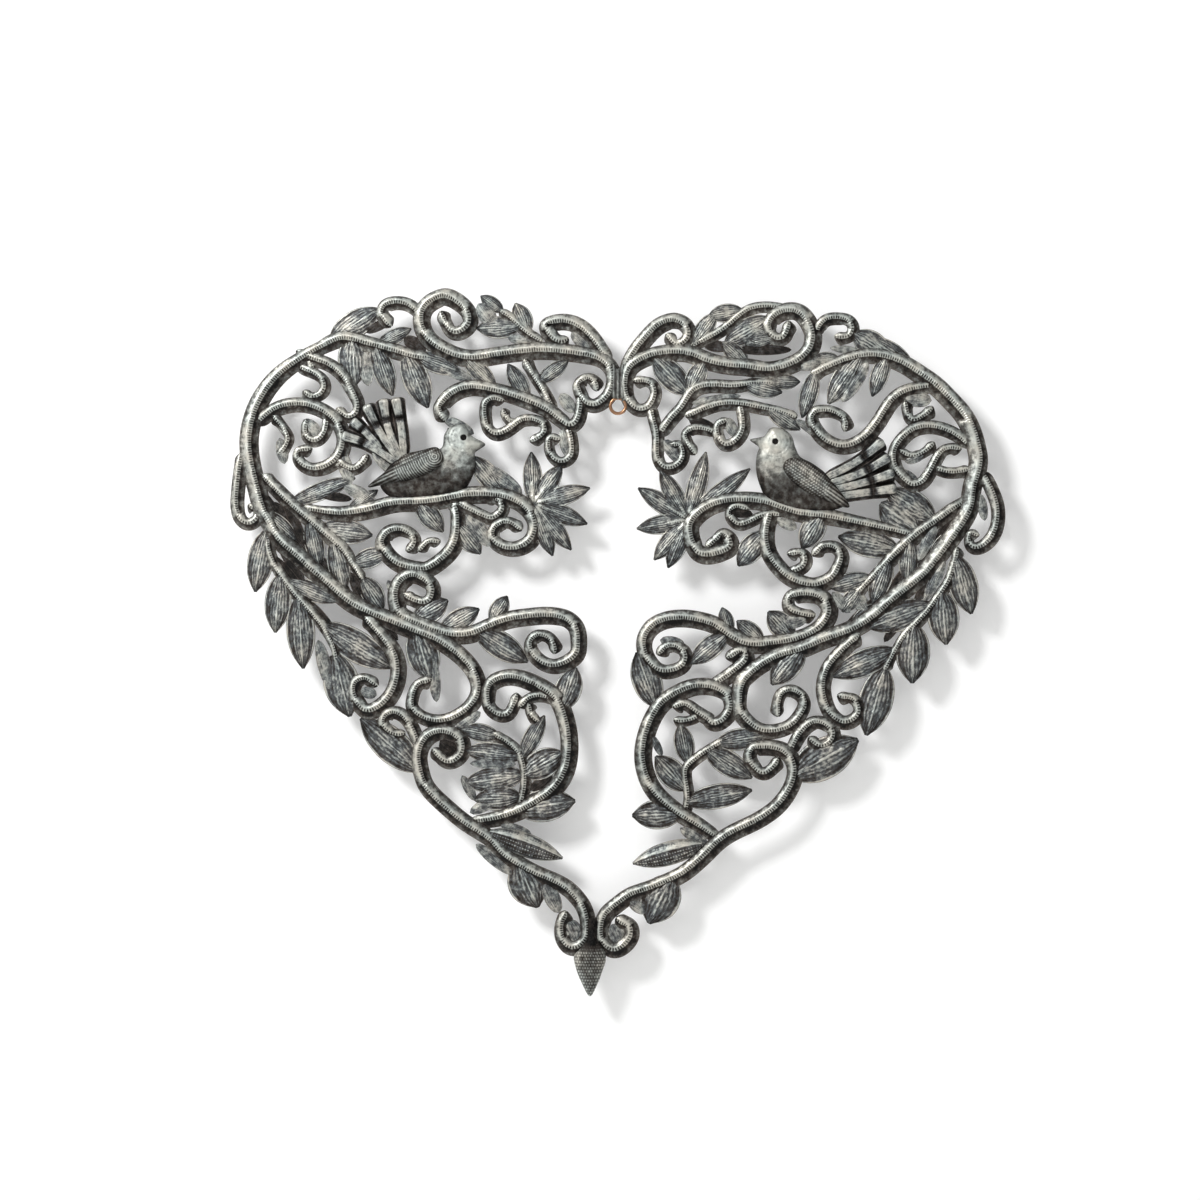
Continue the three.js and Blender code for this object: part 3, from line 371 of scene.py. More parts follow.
            (-193, -213, -181, -217, 9),
        ],
        "shade_webs": [
            (-205.5, -141, -165, -175.5, 12),
        ],
    },
    "left_hip_curl": {
        "ridges": [
            ((11, 12, 9), [
                (-151, -251), (-154.5, -241.5), (-160, -232.5), (-168, -228), (-175, -231), (-177, -237),
                (-173, -242), (-168, -245), (-162, -245),
            ]),
        ],
    },
    "left_under_perch_scroll": {
        "ridges": [
            ((10, 14, 9), [
                (-125, -73), (-122, -76.5), (-121.5, -84), (-121.5, -94), (-125, -105), (-135, -115),
                (-145, -121), (-154, -120), (-163.5, -118), (-174, -110), (-178, -101), (-173, -93),
                (-163.5, -91), (-155, -96), (-153, -102), (-157, -107),
            ]),
            ((8, 8, 7), [
                (-148.5, -107), (-142.5, -100.5), (-135, -101),
            ]),
        ],
        "leaves": [
            (-121, -88.5, -103, -111, 17),
        ],
    },
    "left_perch_bar": {
        "ridges": [
            ((9, 11, 8), [
                (-117, -73.5), (-108, -78), (-94.5, -83), (-87, -76), (-91, -69), (-98, -70),
            ]),
        ],
    },
    "right_border_stem": {
        "ridges": [
            ((10, 16, 10), [
                (147, 25.5), (160.5, 32), (175, 37.5), (190, 40), (203, 38), (217.5, 32), (227, 25.5),
                (238, 18), (249, 7), (259, -4), (265.5, -16), (269, -28), (271, -40), (269, -49), (265.5, -61),
                (264, -75), (258, -86), (249, -99), (240, -111), (229.5, -124), (217.5, -134), (203, -145.5),
                (190, -157), (175, -166), (155, -173), (136.5, -181), (121, -185), (108, -192), (99, -199),
                (93, -205.5), (91, -216), (91.5, -227), (97.5, -235), (107, -241.5), (118.5, -242),
                (130, -238), (135, -232.5), (140, -223.5), (138, -216), (130.5, -211.5), (123, -214),
                (120, -221), (120, -230),
            ]),
        ],
        "leaves": [
            (203, 38, 175.5, 55, 20.5), (166, 34.5, 145.5, 35, 12), (148, 26, 138, -9, 14),
            (182.5, 39, 157.5, 1.5, 19), (201.5, 38.5, 190.5, 7, 14), (252.5, -94, 234, -115.5, 14),
            (198, -150, 174, -166.5, 15.5), (138.5, -180, 115, -209, 21.5), (220, 30.5, 187.5, 51, 15.5),
        ],
        "webs": [
            (159, 43.5, 184, 40.5, 6), (187.5, 33, 168, 3, 11), (271.5, -66, 275, -86, 7.5),
        ],
        "shade_webs": [
            (253.5, -79.5, 228, -112.5, 10.5), (231, -109.5, 202.5, -142.5, 12), (204, -139.5, 168, -171, 12),
            (244.5, -115.5, 222, -148.5, 9),
        ],
    },
    "right_crown_scroll": {
        "ridges": [
            ((10, 15, 9), [
                (127, 61), (123, 52), (115.5, 53), (112, 62), (118, 70.5), (128, 73.5), (136.5, 70.5),
                (142.5, 62), (145, 53), (142.5, 43.5), (136.5, 37), (125, 31.5), (111, 28.5), (97, 31),
                (82.5, 32), (67.5, 35), (53, 41), (39, 42), (25, 40), (13.5, 35), (7.5, 30), (4.5, 22),
                (4.5, 12), (7, 5), (12, 0), (16.5, -1.5), (22, 0), (25.5, 5), (27, 10.5), (25.5, 16),
                (22.5, 19), (19, 20), (14, 19.5),
            ]),
        ],
        "leaves": [
            (115.5, 53, 90, 61, 12), (118, 51.5, 95, 46, 12), (97, 31, 78, 48, 14),
            (113, 65.5, 79.5, 46.5, 19),
        ],
        "webs": [
            (133, 30, 151, 33, 10.5),
        ],
        "shade_webs": [
            (88, 42, 130, 42, 8),
        ],
    },
    "right_tail_stem": {
        "ridges": [
            ((10, 14, 13), [
                (118.5, -265.5), (114, -271.5), (108, -274), (101, -269), (97.5, -262), (101, -255),
                (112.5, -254), (123, -256.5), (130, -265), (131, -276), (126, -288), (118.5, -298),
                (108, -306), (97, -312), (90, -315), (76, -323), (61.5, -337), (47, -349), (33, -355.5),
                (19, -361), (8, -364.5), (-2, -372), (-11, -379.5), (-14, -389), (-13, -399), (-5, -406),
                (2, -404), (8, -397), (8, -389), (2, -385.5),
            ]),
        ],
        "leaves": [
            (131, -277.5, 180, -250, 31), (40, -352.5, 23, -388, 30),
        ],
        "webs": [
            (8, -370.5, 21, -380, 9), (-4.5, -388.5, 4.5, -406.5, 18),
        ],
    },
    "right_perch": {
        "ridges": [
            ((9, 15, 10), [
                (67.5, -104), (73, -99), (78, -94.5), (83, -100), (83, -105), (76.5, -108), (70.5, -110),
                (61, -109.5), (55.5, -103.5), (52.5, -94), (52.5, -88.5), (56, -82), (63, -76), (73, -71),
                (85, -69), (101, -69), (115.5, -72), (125, -76), (136.5, -79), (155, -81), (175, -85),
                (193.5, -89), (217.5, -94.5),
            ]),
        ],
        "leaves": [
            (153, -80.5, 138, -107, 19),
        ],
    },
    "right_second_stem": {
        "ridges": [
            ((10, 13, 7), [
                (262, -69), (249, -76.5), (237, -85.5), (226.5, -92), (216, -101), (205.5, -111),
                (196, -121.5), (187.5, -130.5), (179, -139.5),
            ]),
        ],
        "leaves": [
            (225, -93.5, 196.5, -73, 31), (209.5, -107.5, 165, -98, 21.5), (189.5, -128.5, 159, -136.5, 15.5),
            (181.5, -137, 168, -154.5, 14), (218.5, -99, 217, -133, 15.5), (203, -113.5, 190.5, -148.5, 17),
            (237, -85.5, 201, -63, 24),
        ],
        "webs": [
            (240, -84, 225, -116, 9), (174, -138, 187.5, -155, 12),
        ],
    },
    "right_outer_leaf_stem": {
        "ridges": [
            ((8, 10, 7), [
                (253.5, -108), (251, -118.5), (247, -130.5), (240, -141), (232.5, -151.5), (223, -162),
                (213, -172.5), (206, -184.5), (200, -196.5),
            ]),
        ],
        "leaves": [
            (252.5, -112.5, 265, -156, 22.5), (242, -138.5, 246, -179, 24), (221.5, -163.5, 220.5, -208, 26),
            (200, -196.5, 186, -247, 26), (207, -183, 160.5, -203, 20.5), (234.5, -149, 187.5, -166.5, 22.5),
        ],
        "webs": [
            (245, -115.5, 230, -146, 9),
        ],
        "shade_webs": [
            (216, -153, 199.5, -177, 7.5),
        ],
    },
    "right_under_perch_scroll": {
        "ridges": [
            ((12, 14, 9), [
                (112.5, -82), (110, -91), (109.5, -98), (111, -107), (115.5, -115), (121, -121.5),
                (128, -127.5), (136.5, -131), (145, -133), (153, -131), (160, -127), (164, -120),
                (166.5, -112.5), (164, -106.5), (158, -103.5), (151.5, -105), (147, -110),
            ]),
            ((9, 11, 8), [
                (126, -124), (134, -122), (139, -118), (139.5, -112.5), (136, -109), (129, -110),
            ]),
        ],
        "leaves": [
            (109.5, -94.5, 90, -120, 19),
        ],
    },
    "right_perch_bar": {
        "ridges": [
            ((8, 10, 9), [
                (96, -76), (90, -74), (85, -76), (82.5, -80), (85.5, -85), (92, -88), (99, -85.5), (105, -82),
                (112.5, -80), (123, -81),
            ]),
        ],
        "webs": [
            (118.5, -84, 134, -92, 9),
        ],
        "shade_webs": [
            (82.5, -79.5, 101, -81, 7.5),
        ],
    },
    "right_arm_scroll": {
        "ridges": [
            ((10, 15, 10), [
                (145, -156), (139, -155), (131, -153), (127, -148.5), (128, -142.5), (134, -139.5),
                (142.5, -139), (150, -141), (155, -146), (157, -153), (154, -160), (148, -166.5), (141, -170),
                (133, -173), (115.5, -176), (97, -177), (84, -171), (73, -163), (61, -159), (46, -157),
                (32, -159), (22.5, -165), (18, -174), (19, -184), (25, -193), (31, -197), (40, -197),
                (48, -193), (49.5, -185), (43.5, -179), (36, -179), (31, -184),
            ]),
        ],
        "leaves": [
            (84, -171, 78, -151, 12), (108.5, -177, 89, -161, 14.5), (131, -173.5, 112.5, -154, 19),
            (82.5, -170, 54, -193.5, 17),
        ],
        "webs": [
            (160.5, -139.5, 174, -155, 9), (121.5, -164, 142, -159, 11), (31.5, -175.5, 50, -179, 9),
        ],
    },
    "right_lower_ring": {
        "ridges": [
            ((11, 15, 10), [
                (73.5, -322), (61, -313.5), (46, -304.5), (34.5, -296), (25, -286), (19, -273), (17, -259.5),
                (19, -246), (24, -232.5), (31.5, -221), (42, -214), (53, -209), (65, -208), (76, -211),
                (82.5, -217.5), (83, -227), (78, -234), (70, -237), (66, -232), (59, -229), (54, -224),
                (49, -222), (43.5, -224),
            ]),
            ((8, 9, 8), [
                (61, -231), (52.5, -235), (44, -235),
            ]),
        ],
        "leaves": [
            (28.5, -225, 14, -184.5, 22.5), (47.5, -305.5, 10.5, -307, 22.5),
        ],
        "webs": [
            (25.5, -247, 33, -262.5, 6), (46.5, -316.5, 67, -328, 9),
        ],
    },
    "right_ring_curl": {
        "ridges": [
            ((11, 13, 10), [
                (70.5, -208), (82.5, -200), (90, -194), (95, -189), (94.5, -184), (90, -183), (83, -187),
            ]),
        ],
    },
    "right_ring_sprig": {
        "ridges": [
            ((7, 10, 9), [
                (77, -251), (67.5, -256.5), (55.5, -265), (49.5, -271.5), (50, -280.5), (52, -292),
                (49.5, -304.5),
            ]),
        ],
        "leaves": [
            (52.5, -267.5, 46.5, -238, 15.5), (51.5, -287.5, 28, -262.5, 20.5), (74.5, -252.5, 110, -247, 17),
            (66, -257.5, 100.5, -279, 19), (51, -297, 100.5, -288, 19),
        ],
    },
    "right_inner_arch": {
        "ridges": [
            ((11, 12, 8), [
                (31, -19.5), (40, -7), (48, 1), (53, 10.5), (61, 16), (73, 17), (87, 16), (101, 18), (114, 18),
            ]),
        ],
        "leaves": [
            (114, 18, 136.5, 18, 12), (94, 17, 123, 10, 15.5), (52.5, 9.5, 26, 37, 20.5),
            (52.5, 9.5, 65, 34.5, 15.5),
        ],
    },
    "right_arch_curl": {
        "ridges": [
            ((10, 11, 9), [
                (53, -6), (63, -1.5), (77, 3), (91.5, 3), (106, 0), (121, -3), (132, -7),
            ]),
            ((10, 11, 8), [
                (91, 1), (93, -16), (88, -25), (80, -28), (74, -21), (74, -13.5), (80, -10.5),
            ]),
        ],
        "leaves": [
            (111.5, -1, 136.5, -18, 14),
        ],
        "webs": [
            (55, 2, 92, 7.5, 7), (81, -9, 88.5, -23, 9),
        ],
    },
    "right_crown_hook": {
        "ridges": [
            ((11, 14, 9), [
                (4, 29), (10.5, 41), (20, 53), (29, 62), (40, 66), (49, 62), (52, 54), (49, 49), (43.5, 46.5),
                (38, 52),
            ]),
        ],
    },
    "right_crown_sprig": {
        "ridges": [
            ((8, 10, 10), [
                (55.5, 46), (67.5, 52), (79.5, 59), (88.5, 67), (97, 73.5), (111, 76), (125, 74),
            ]),
        ],
        "leaves": [
            (56.5, 46, 73.5, 70, 14), (93, 71.5, 67.5, 67.5, 14),
        ],
        "shade_webs": [
            (64, 46, 83, 43.5, 9),
        ],
    },
    "right_corner_curl": {
        "ridges": [
            ((8, 10, 8), [
                (73, -19.5), (65, -16), (55.5, -16), (49.5, -21), (52.5, -28.5), (57, -34.5),
            ]),
            ((10, 11, 8), [
                (24, -2), (26, -11), (28.5, -19.5), (28.5, -26), (28.5, -37.5), (34.5, -45), (43, -44),
                (48, -37.5), (46, -28.5), (41, -28.5),
            ]),
        ],
        "webs": [
            (34, -25.5, 49, -43, 10.5),
        ],
        "shade_webs": [
            (53, -10, 74, -18, 9),
        ],
    },
    "right_top_curl": {
        "ridges": [
            ((10, 11, 9), [
                (149, 55), (149, 59), (155, 66), (165, 67.5), (172, 65), (175, 59), (172.5, 53), (165, 52.5),
            ]),
        ],
    },
    "right_s_scroll": {
        "ridges": [
            ((10, 13, 9), [
                (236, 16), (223, 15), (210, 10.5), (202, 3), (196, -7), (190, -16), (182, -24), (172.5, -28.5),
                (163.5, -28.5), (154, -24), (147, -16.5), (144, -9), (148, -3), (157.5, -2), (165, -5),
                (170, -10.5), (170, -16.5),
            ]),
        ],
        "webs": [
            (133, -10.5, 167, -31, 8),
        ],
    },
    "right_side_ring": {
        "ridges": [
            ((11, 12, 9), [
                (262.5, -28.5), (254, -21), (244, -16), (232.5, -13.5), (220.5, -16), (212, -23), (206, -31.5),
                (205.5, -41), (209, -49), (212, -52), (220, -58), (228, -55.5), (233, -48), (237, -40),
                (241.5, -33), (249, -30), (255, -31),
            ]),
            ((8, 9, 8), [
                (235, -28.5), (228, -34.5), (220.5, -37), (213, -34),
            ]),
            ((8, 10, 8), [
                (234, -2), (228, -7), (220.5, -10), (216, -5), (215, 1.5),
            ]),
        ],
        "webs": [
            (214.5, 6, 235, 4, 12), (215, -42, 231, -34.5, 9), (213, -48, 226.5, -60, 7),
        ],
    },
    "right_side_bar": {
        "ridges": [
            ((9, 10, 9), [
                (238.5, -46), (249, -49), (261, -47),
            ]),
        ],
    },
    "right_edge_hook": {
        "ridges": [
            ((11, 12, 8), [
                (274.5, -52.5), (279, -62), (283, -73.5), (283, -86), (279, -97.5), (272, -104), (265.5, -105),
                (262, -100), (264, -94.5), (268.5, -96),
            ]),
        ],
    },
    "right_hip_scroll": {
        "ridges": [
            ((11, 13, 9), [
                (178, -172.5), (170, -179), (162, -187), (155, -196.5), (152, -209), (154, -220.5),
                (158, -229), (166, -235), (173, -235), (179, -230), (179, -223.5), (175, -218), (167, -217),
            ]),
        ],
    },
    "right_hip_curl": {
        "ridges": [
            ((11, 12, 9), [
                (128, -258), (134, -246), (141, -238), (148.5, -235), (156, -238), (160.5, -244.5),
                (158, -251), (151.5, -254), (145, -250),
            ]),
        ],
    },
}

# Outlines of the birds round a middle point, and the crests of the tail feathers
BIRDS = {
    "left": {
        "middle": (-122, -45),
        "body": [
            (-99.5, -29), (-109.5, -22.5), (-115.5, -14), (-124.5, -15), (-130, -21), (-132, -31),
            (-141, -34.5), (-156, -38), (-166.5, -40.5), (-175, -49.5), (-178.5, -58.5), (-174, -66),
            (-163.5, -70), (-145, -69), (-127.5, -67), (-115.5, -63), (-109.5, -54), (-106.5, -43.5),
            (-107, -35),
        ],
        "wing_middle": (-150, -45),
        "wing": [
            (-130.5, -39), (-135, -31.5), (-147, -33.5), (-160, -37), (-171, -47), (-187, -61),
            (-171, -58), (-156, -55.5), (-142.5, -50.5), (-132, -44.5),
        ],
        "shoulder": (-137, -38.5),
        "wing_tip": (-187, -61),
        "eye": (-115.5, -24),
        "tail": [
            [(-163.5, -44), (-190.5, -27), (-203, -23)],
            [(-178.5, -31.5), (-189, -19.5), (-196, -13.5)],
            [(-163.5, -40.5), (-178.5, -19.5), (-187, -3)],
            [(-163.5, -39), (-172.5, -16.5), (-175.5, 1)],
            [(-160.5, -37.5), (-163, -13.5), (-166, 2)],
        ],
    },
    "right": {
        "middle": (119, -41),
        "body": [
            (99, -25.5), (109.5, -22.5), (114.5, -16.5), (123, -17), (130, -22.5), (133, -31.5),
            (136.5, -38), (145.5, -43), (156, -51), (165, -63), (170, -74), (157.5, -79), (144, -79.5),
            (126.5, -77), (112.5, -71), (106.5, -60), (103.5, -48), (104, -37), (105.5, -31),
        ],
        "wing_middle": (146, -57),
        "wing": [
            (123, -46), (126, -40.5), (133.5, -39), (144, -43.5), (154.5, -52), (163.5, -61), (173, -76),
            (165, -75), (153, -70.5), (140, -64.5), (129, -56),
        ],
        "shoulder": (131, -46),
        "wing_tip": (173, -76),
        "eye": (117.5, -27),
        "tail": [
            [(154.5, -54), (180, -40.5), (195, -28.5)],
            [(156, -58.5), (183, -49.5), (199.5, -40)],
            [(157.5, -63), (184.5, -57), (202.5, -51)],
            [(159, -68), (186, -64.5), (204.5, -62)],
        ],
    },
}
TAIL_WIDTHS = (5, 10, 14)

# Rosettes: the centre and the tips of the petals
ROSETTES = {
    "left": ((-63, -73.5), [(-65, -34.5), (-42, -44), (-21, -61.5), (-23, -88.5), (-35, -108), (-49, -112.5)]),
    "right": (
        (52.5, -85.5),
        [(15, -61.5), (14, -92), (27, -115.5), (37.5, -121.5), (31.5, -48), (66, -34.5), (99, -47)],
    ),
}
PETAL_WIDTH = 15

# Flower buds on the lower stems: base x and z, tip x and z, width
BUDS = {"left": (-96, -319.5, -41.5, -339, 18), "right": (63, -328.5, 11, -343, 18)}

# Bud below the two lowest scrolls, and the plate that bridges the halves above the hanging hole
FINIAL = [
    (-21, -442.5), (-27.5, -432), (-31.5, -421.5), (-33, -412.5), (-28.5, -406.5), (-24, -400.5),
    (-22.5, -384), (-15.5, -384), (-14.5, -400.5), (-11, -406.5), (-9, -414), (-12, -424.5), (-15.5, -433.5),
]
FINIAL_MIDDLE = (-20.5, -415)
FINIAL_TIP = (-20.5, -442)
BRIDGE = [(-4, 31.5), (-0.5, 27.5), (4, 31.5), (5, 19.5), (5, 6.5), (-4, 6), (-5, 19.5)]
BRIDGE_MIDDLE = (0, 16)
BRIDGE_TOP = (0, 40)

# Kinds of guide
STEM, LEAF, WEB, SHADE_WEB, BUD, FLUTE = 0.0, 1.0, 1.3, 1.4, 2.0, 3.0

# Spacing of the points on a guide and on an outline, in millimetres
STEM_STEP, OUTLINE_STEP = 0.8, 0.5

# Where the light comes from in the plane of the heart: stems have their flat face on that side and their
# notches and slope on the other, and are painted pale on that side as painted light and dark on the far slope
# as painted shade
LIGHT_SIDE = np.array([-0.5, 0.87])

# How far the middle of a stem lies from its crest, in millimetres to the right and up
LEAN, ROUND_LEAN, TAIL_LEAN = (1.7, -2.2), (0, 0), (0.6, -0.8)
BORDER_LEANS = {"left_border_stem": (0.6, -2), "right_border_stem": (-0.6, -2.2)}

# How much higher each guide of a piece lies than the one before it, and each piece than the one before
# it, in millimetres, so that no two faces coincide
GUIDE_LIFT, PIECE_LIFT = 0.04, 0.012

# Short ridge on each petal of a rosette: its widths, and its points as shares of the petal's length
NUB_WIDTHS, NUB_PLACES = (6, 7, 6), (0.08, 0.25, 0.42)

# Where the notch lies across the tail feathers, as a share of their length
TAIL_NOTCH = 0.66

# Points round the section of a stem or leaf: the last one on its outer face, counted from 0, and the
# number that come back under the sheet
STEM_FACE, LEAF_FACE, UNDER_SLOTS = 22, 32, 7

# Steps over the face and back under the sheet of a raised relief
FACE_STEPS, UNDER_STEPS = 64, 12

# How worn the plain back of the sheet is
BACK_WEAR = 0.48

# Point attributes that only serve to shape a piece
SCAFFOLD = ("kind", "left", "right", "tall", "share", "slot", "lift", "facing", "phase", "spot", "heading")


def length_property(name, description, millimetres):
    """Length that a user can set, given in millimetres and kept in metres."""
    return FloatProperty(
        name=name, description=description, default=millimetres * MM, unit="LENGTH", precision=4
    )


class HeartShape(PropertyGroup):
    """Sizes of the heart, in metres."""

    sheet: length_property("Sheet", "Thickness of the steel sheet", 1.3)
    notch_pitch: length_property("Notch pitch", "Distance between two chisel notches along a crest", 1.85)
    notch_depth: length_property("Notch depth", "Depth of a chisel notch", 1.1)
    ridge_share: FloatProperty(
        name="Ridge height share", description="Height of a stem as a share of its width", default=0.4
    )
    ridge_lowest: length_property("Lowest ridge", "Least height of a stem", 3.2)
    ridge_highest: length_property("Highest ridge", "Greatest height of a stem", 6.4)
    leaf_rise: length_property("Leaf rise", "Height of a leaf's midrib over its rim", 2.4)
    web_rise: length_property("Web rise", "Height of a flat patch over its rim", 0.9)
    shade_web_rise: length_property("Shade web rise", "Height of a dark patch over its rim", 0.3)
    unevenness: length_property("Unevenness", "How far the hand-hammered surface strays", 0.9)
    loop_wire: length_property("Loop wire", "Thickness of the hanging loop's wire", 2.5)
    loop_bore: length_property("Loop bore", "Width of the hanging hole", 9)
    bird_relief: length_property("Bird relief", "Height of a bird's body", 8.5)
    wing_relief: length_property("Wing relief", "Height of a bird's wing", 12)
    bud_relief: length_property("Bud relief", "Height of a bud", 7)


def linear(code):
    """Linear colour of an sRGB hex code."""
    parts = [int(code[i : i + 2], 16) / 255 for i in (1, 3, 5)]
    return tuple(p / 12.92 if p <= 0.04045 else ((p + 0.055) / 1.055) ** 2.4 for p in parts)


def colour_property(name, description, code):
    """Colour that a user can set, from an sRGB hex code."""
    return FloatVectorProperty(
        name=name, description=description, subtype="COLOR", size=3, default=linear(code)
    )


class HeartFinish(PropertyGroup):
    """Colours of the metal."""

    # Besides patina and wear, these tones paint light and shade: the stems' side towards the light takes the
    # pale ones as painted light, and the far slopes and the pits the dark ones as painted shade
    recess: colour_property("Recess", "Black patina in the deepest cuts", "#0E0D0C")
    shade: colour_property("Shade", "Dark patina on the slopes", "#352F2B")
    middle: colour_property("Middle", "Half worn steel", "#62625F")
    pale: colour_property("Pale", "Steel worn bright", "#B2B3AD")
    crest: colour_property("Crest", "Polished crests", "#C8C9C2")
    tint: colour_property("Tint", "Warm tint along the rims", "#8A7A70")
    leaf: colour_property("Leaf", "Bluish dark steel of the leaves", "#545658")
    copper: colour_property("Copper", "Copper-coloured wire", "#B98E6E")


class HeartStage(PropertyGroup):
    """Camera, wall and light."""

    lens: FloatProperty(name="Lens", description="Focal length of the camera in millimetres", default=85)
    distance: length_property("Distance", "Camera distance from the wall heart", 2125)
    wall_gap: length_property("Wall gap", "Distance from the flat back to the wall", 22)
    key_power: FloatProperty(
        name="Key power", description="Power of the soft key lamp in watts", default=44
    )
    sky: FloatProperty(name="Sky", description="Strength of the pale surroundings", default=0.5)


# Geometry of the crest lines

def smooth_path(points, step=STEM_STEP, closed=False):
    """Points every step millimetres along the smooth centripetal curve through the given ones."""
    p = np.array(points, float)
    if closed:
        p = np.vstack([p[-1:], p, p[:2]])
    else:
        p = np.vstack([2 * p[0] - p[1], p, 2 * p[-1] - p[-2]])
    out = []
    for i in range(1, len(p) - 2):
        a, b, c, d = p[i - 1 : i + 3]
        t = [0.0]
        for u, v in ((a, b), (b, c), (c, d)):
            t.append(t[-1] + max(np.linalg.norm(v - u), 1e-6) ** 0.5)
        for s in np.linspace(t[1], t[2], 24, endpoint=False):
            ab = ((t[1] - s) * a + (s - t[0]) * b) / (t[1] - t[0])
            bc = ((t[2] - s) * b + (s - t[1]) * c) / (t[2] - t[1])
            cd = ((t[3] - s) * c + (s - t[2]) * d) / (t[3] - t[2])
            abc = ((t[2] - s) * ab + (s - t[0]) * bc) / (t[2] - t[0])
            bcd = ((t[3] - s) * bc + (s - t[1]) * cd) / (t[3] - t[1])
            out.append(((t[2] - s) * abc + (s - t[1]) * bcd) / (t[2] - t[1]))
    if not closed:
        out.append(p[-2])
    out = np.array(out)
    ends = np.vstack([out, out[:1]]) if closed else out
    run = np.concatenate([[0], np.cumsum(np.linalg.norm(np.diff(ends, axis=0), axis=1))])
    at = np.linspace(0, run[-1], max(4, round(run[-1] / step)) + 1)
    if closed:
        at = at[:-1]
    return np.column_stack([np.interp(at, run, ends[:, k]) for k in (0, 1)])


def blur(values, size):
    """Running mean over an odd number of values."""
    padded = np.pad(values, size // 2, mode="edge")
    return np.convolve(padded, np.ones(size) / size, mode="valid")


def ease(p):
    """Irons out the small kinks of a path: much where it runs nearly straight, little where it curls."""
    light = np.column_stack([blur(blur(p[:, k], 5), 5) for k in (0, 1)])
    strong = np.column_stack([blur(blur(p[:, k], 13), 13) for k in (0, 1)])
    ahead = np.gradient(strong, axis=0)
    turn = np.abs(np.gradient(np.unwrap(np.arctan2(ahead[:, 1], ahead[:, 0]))))
    share = blur(np.clip(1.6 - turn * 22, 0, 1), 9)
    from_end = np.minimum(np.arange(len(p)), np.arange(len(p))[::-1])
    share *= np.clip(from_end / 14, 0, 1)
    eased = light + (strong - light) * share[:, None]
    eased[0], eased[-1] = p[0], p[-1]
    return eased


def width_at(widths, share):
    """Width of a stem: it swells from the start and thins towards the end."""
    start, middle, end = widths
    swell = start + (middle - start) * np.sin(np.clip(share / 0.2, 0, 1) * math.pi / 2)
    thin = middle + (end - middle) * np.clip((share - 0.6) / 0.4, 0, 1) ** 1.5
    return np.where(share < 0.6, swell, thin)


def stem_run(shape, widths, crest, lean=LEAN, flute=False, joined=(False, False)):
    """Guide of one stem: its points, the half width either side of the crest and its height, in
    metres. A joined end sinks below the stem that it branches from."""
    # Both ends reach past the last points of the crest, so that they can round off
    p = ease(smooth_path(crest))
    reach = [0.32 * widths[0], 0.32 * widths[2]]
    ahead = (p[-1] - p[-3]) / np.linalg.norm(p[-1] - p[-3])
    behind = (p[0] - p[2]) / np.linalg.norm(p[0] - p[2])
    lead = [p[0] + behind * reach[0] * k for k in (1, 0.92, 0.78, 0.6, 0.4, 0.2)]
    tail = [p[-1] + ahead * reach[1] * k for k in (0.2, 0.4, 0.6, 0.78, 0.92, 1)]
    p = np.vstack([lead, p, tail])
    run = np.concatenate([[0], np.cumsum(np.linalg.norm(np.diff(p, axis=0), axis=1))])
    share = run / run[-1]
    heading = np.gradient(p, axis=0)
    heading /= np.maximum(np.linalg.norm(heading, axis=1, keepdims=True), 1e-9)
    normal = np.column_stack([-heading[:, 1], heading[:, 0]])
    angle = np.unwrap(np.arctan2(heading[:, 1], heading[:, 0]))
    bend = blur(np.gradient(angle) / np.maximum(np.gradient(run), 1e-6), 7)
    # A stem is wider on one side of its crest, and stays narrow on the inner side of a tight bend
    width = width_at(widths, share) - (0 if flute else 1.4)
    off = np.clip(normal @ np.array(lean), -0.22 * width, 0.22 * width)
    most = 0.85 / np.maximum(np.abs(bend), 1e-4)
    left = width / 2 + off
    right = width / 2 - off
    left = blur(np.where(bend > 0, np.minimum(left, most), left), 7)
    right = blur(np.where(bend < 0, np.minimum(right, most), right), 7)
    least = 0.3 * width
    left, right = np.maximum(left, least), np.maximum(right, least)
    # A free end swells to a knob, and a joined one sinks
    edge = np.minimum(run / (reach[0] * 2.2), (run[-1] - run) / (reach[1] * 2.2))
    round_end = np.sqrt(1 - (1 - np.clip(edge * (3 if flute else 1), 0.02, 1)) ** 2)
    tall = np.clip(width * shape.ridge_share, shape.ridge_lowest / MM, shape.ridge_highest / MM)
    if flute:
        notch = np.exp(-(((share - TAIL_NOTCH) / 0.035) ** 2))
        tall = (tall + 1.6 * (share > TAIL_NOTCH)) * (1 - 0.6 * notch)
    sunk = np.ones(len(p))
    full = np.ones(len(p))
    for meets, away in zip(joined, (run, run[-1] - run)):
        if meets:
            sunk *= 0.3 + 0.7 * np.clip((away - 4) / 9, 0, 1) ** 0.7
        elif not flute:
            full += 0.28 * np.exp(-(((away - 3.5) / 3.5) ** 2))
    sheet = shape.sheet / MM
    return {
        "points": p * MM,
        "left": left * round_end * full * MM,
        "right": right * round_end * full * MM,
        "tall": (sheet + (tall - sheet) * sunk * round_end**0.7) * MM,
        "share": share,
        # Which side of the crest faces the light, for the stem's painted light and shade
        "facing": np.clip(5 * normal @ LIGHT_SIDE, -1, 1),
        "kind": np.full(len(p), FLUTE if flute else STEM),
    }


def meets_another(end, name, index):
    """Whether the end of a stem lies on the crest of a wider one."""
    mine = STEMS[name]["ridges"][index][0][1]
    for other, data in STEMS.items():
        for i, (widths, crest) in enumerate(data["ridges"]):
            if (other, i) == (name, index) or widths[1] < mine - 1:
                continue
            path = smooth_path(crest, 2)[4:-4]
            if len(path) and np.linalg.norm(path - np.array(end), axis=1).min() < 0.45 * widths[1]:
                return True
    return False


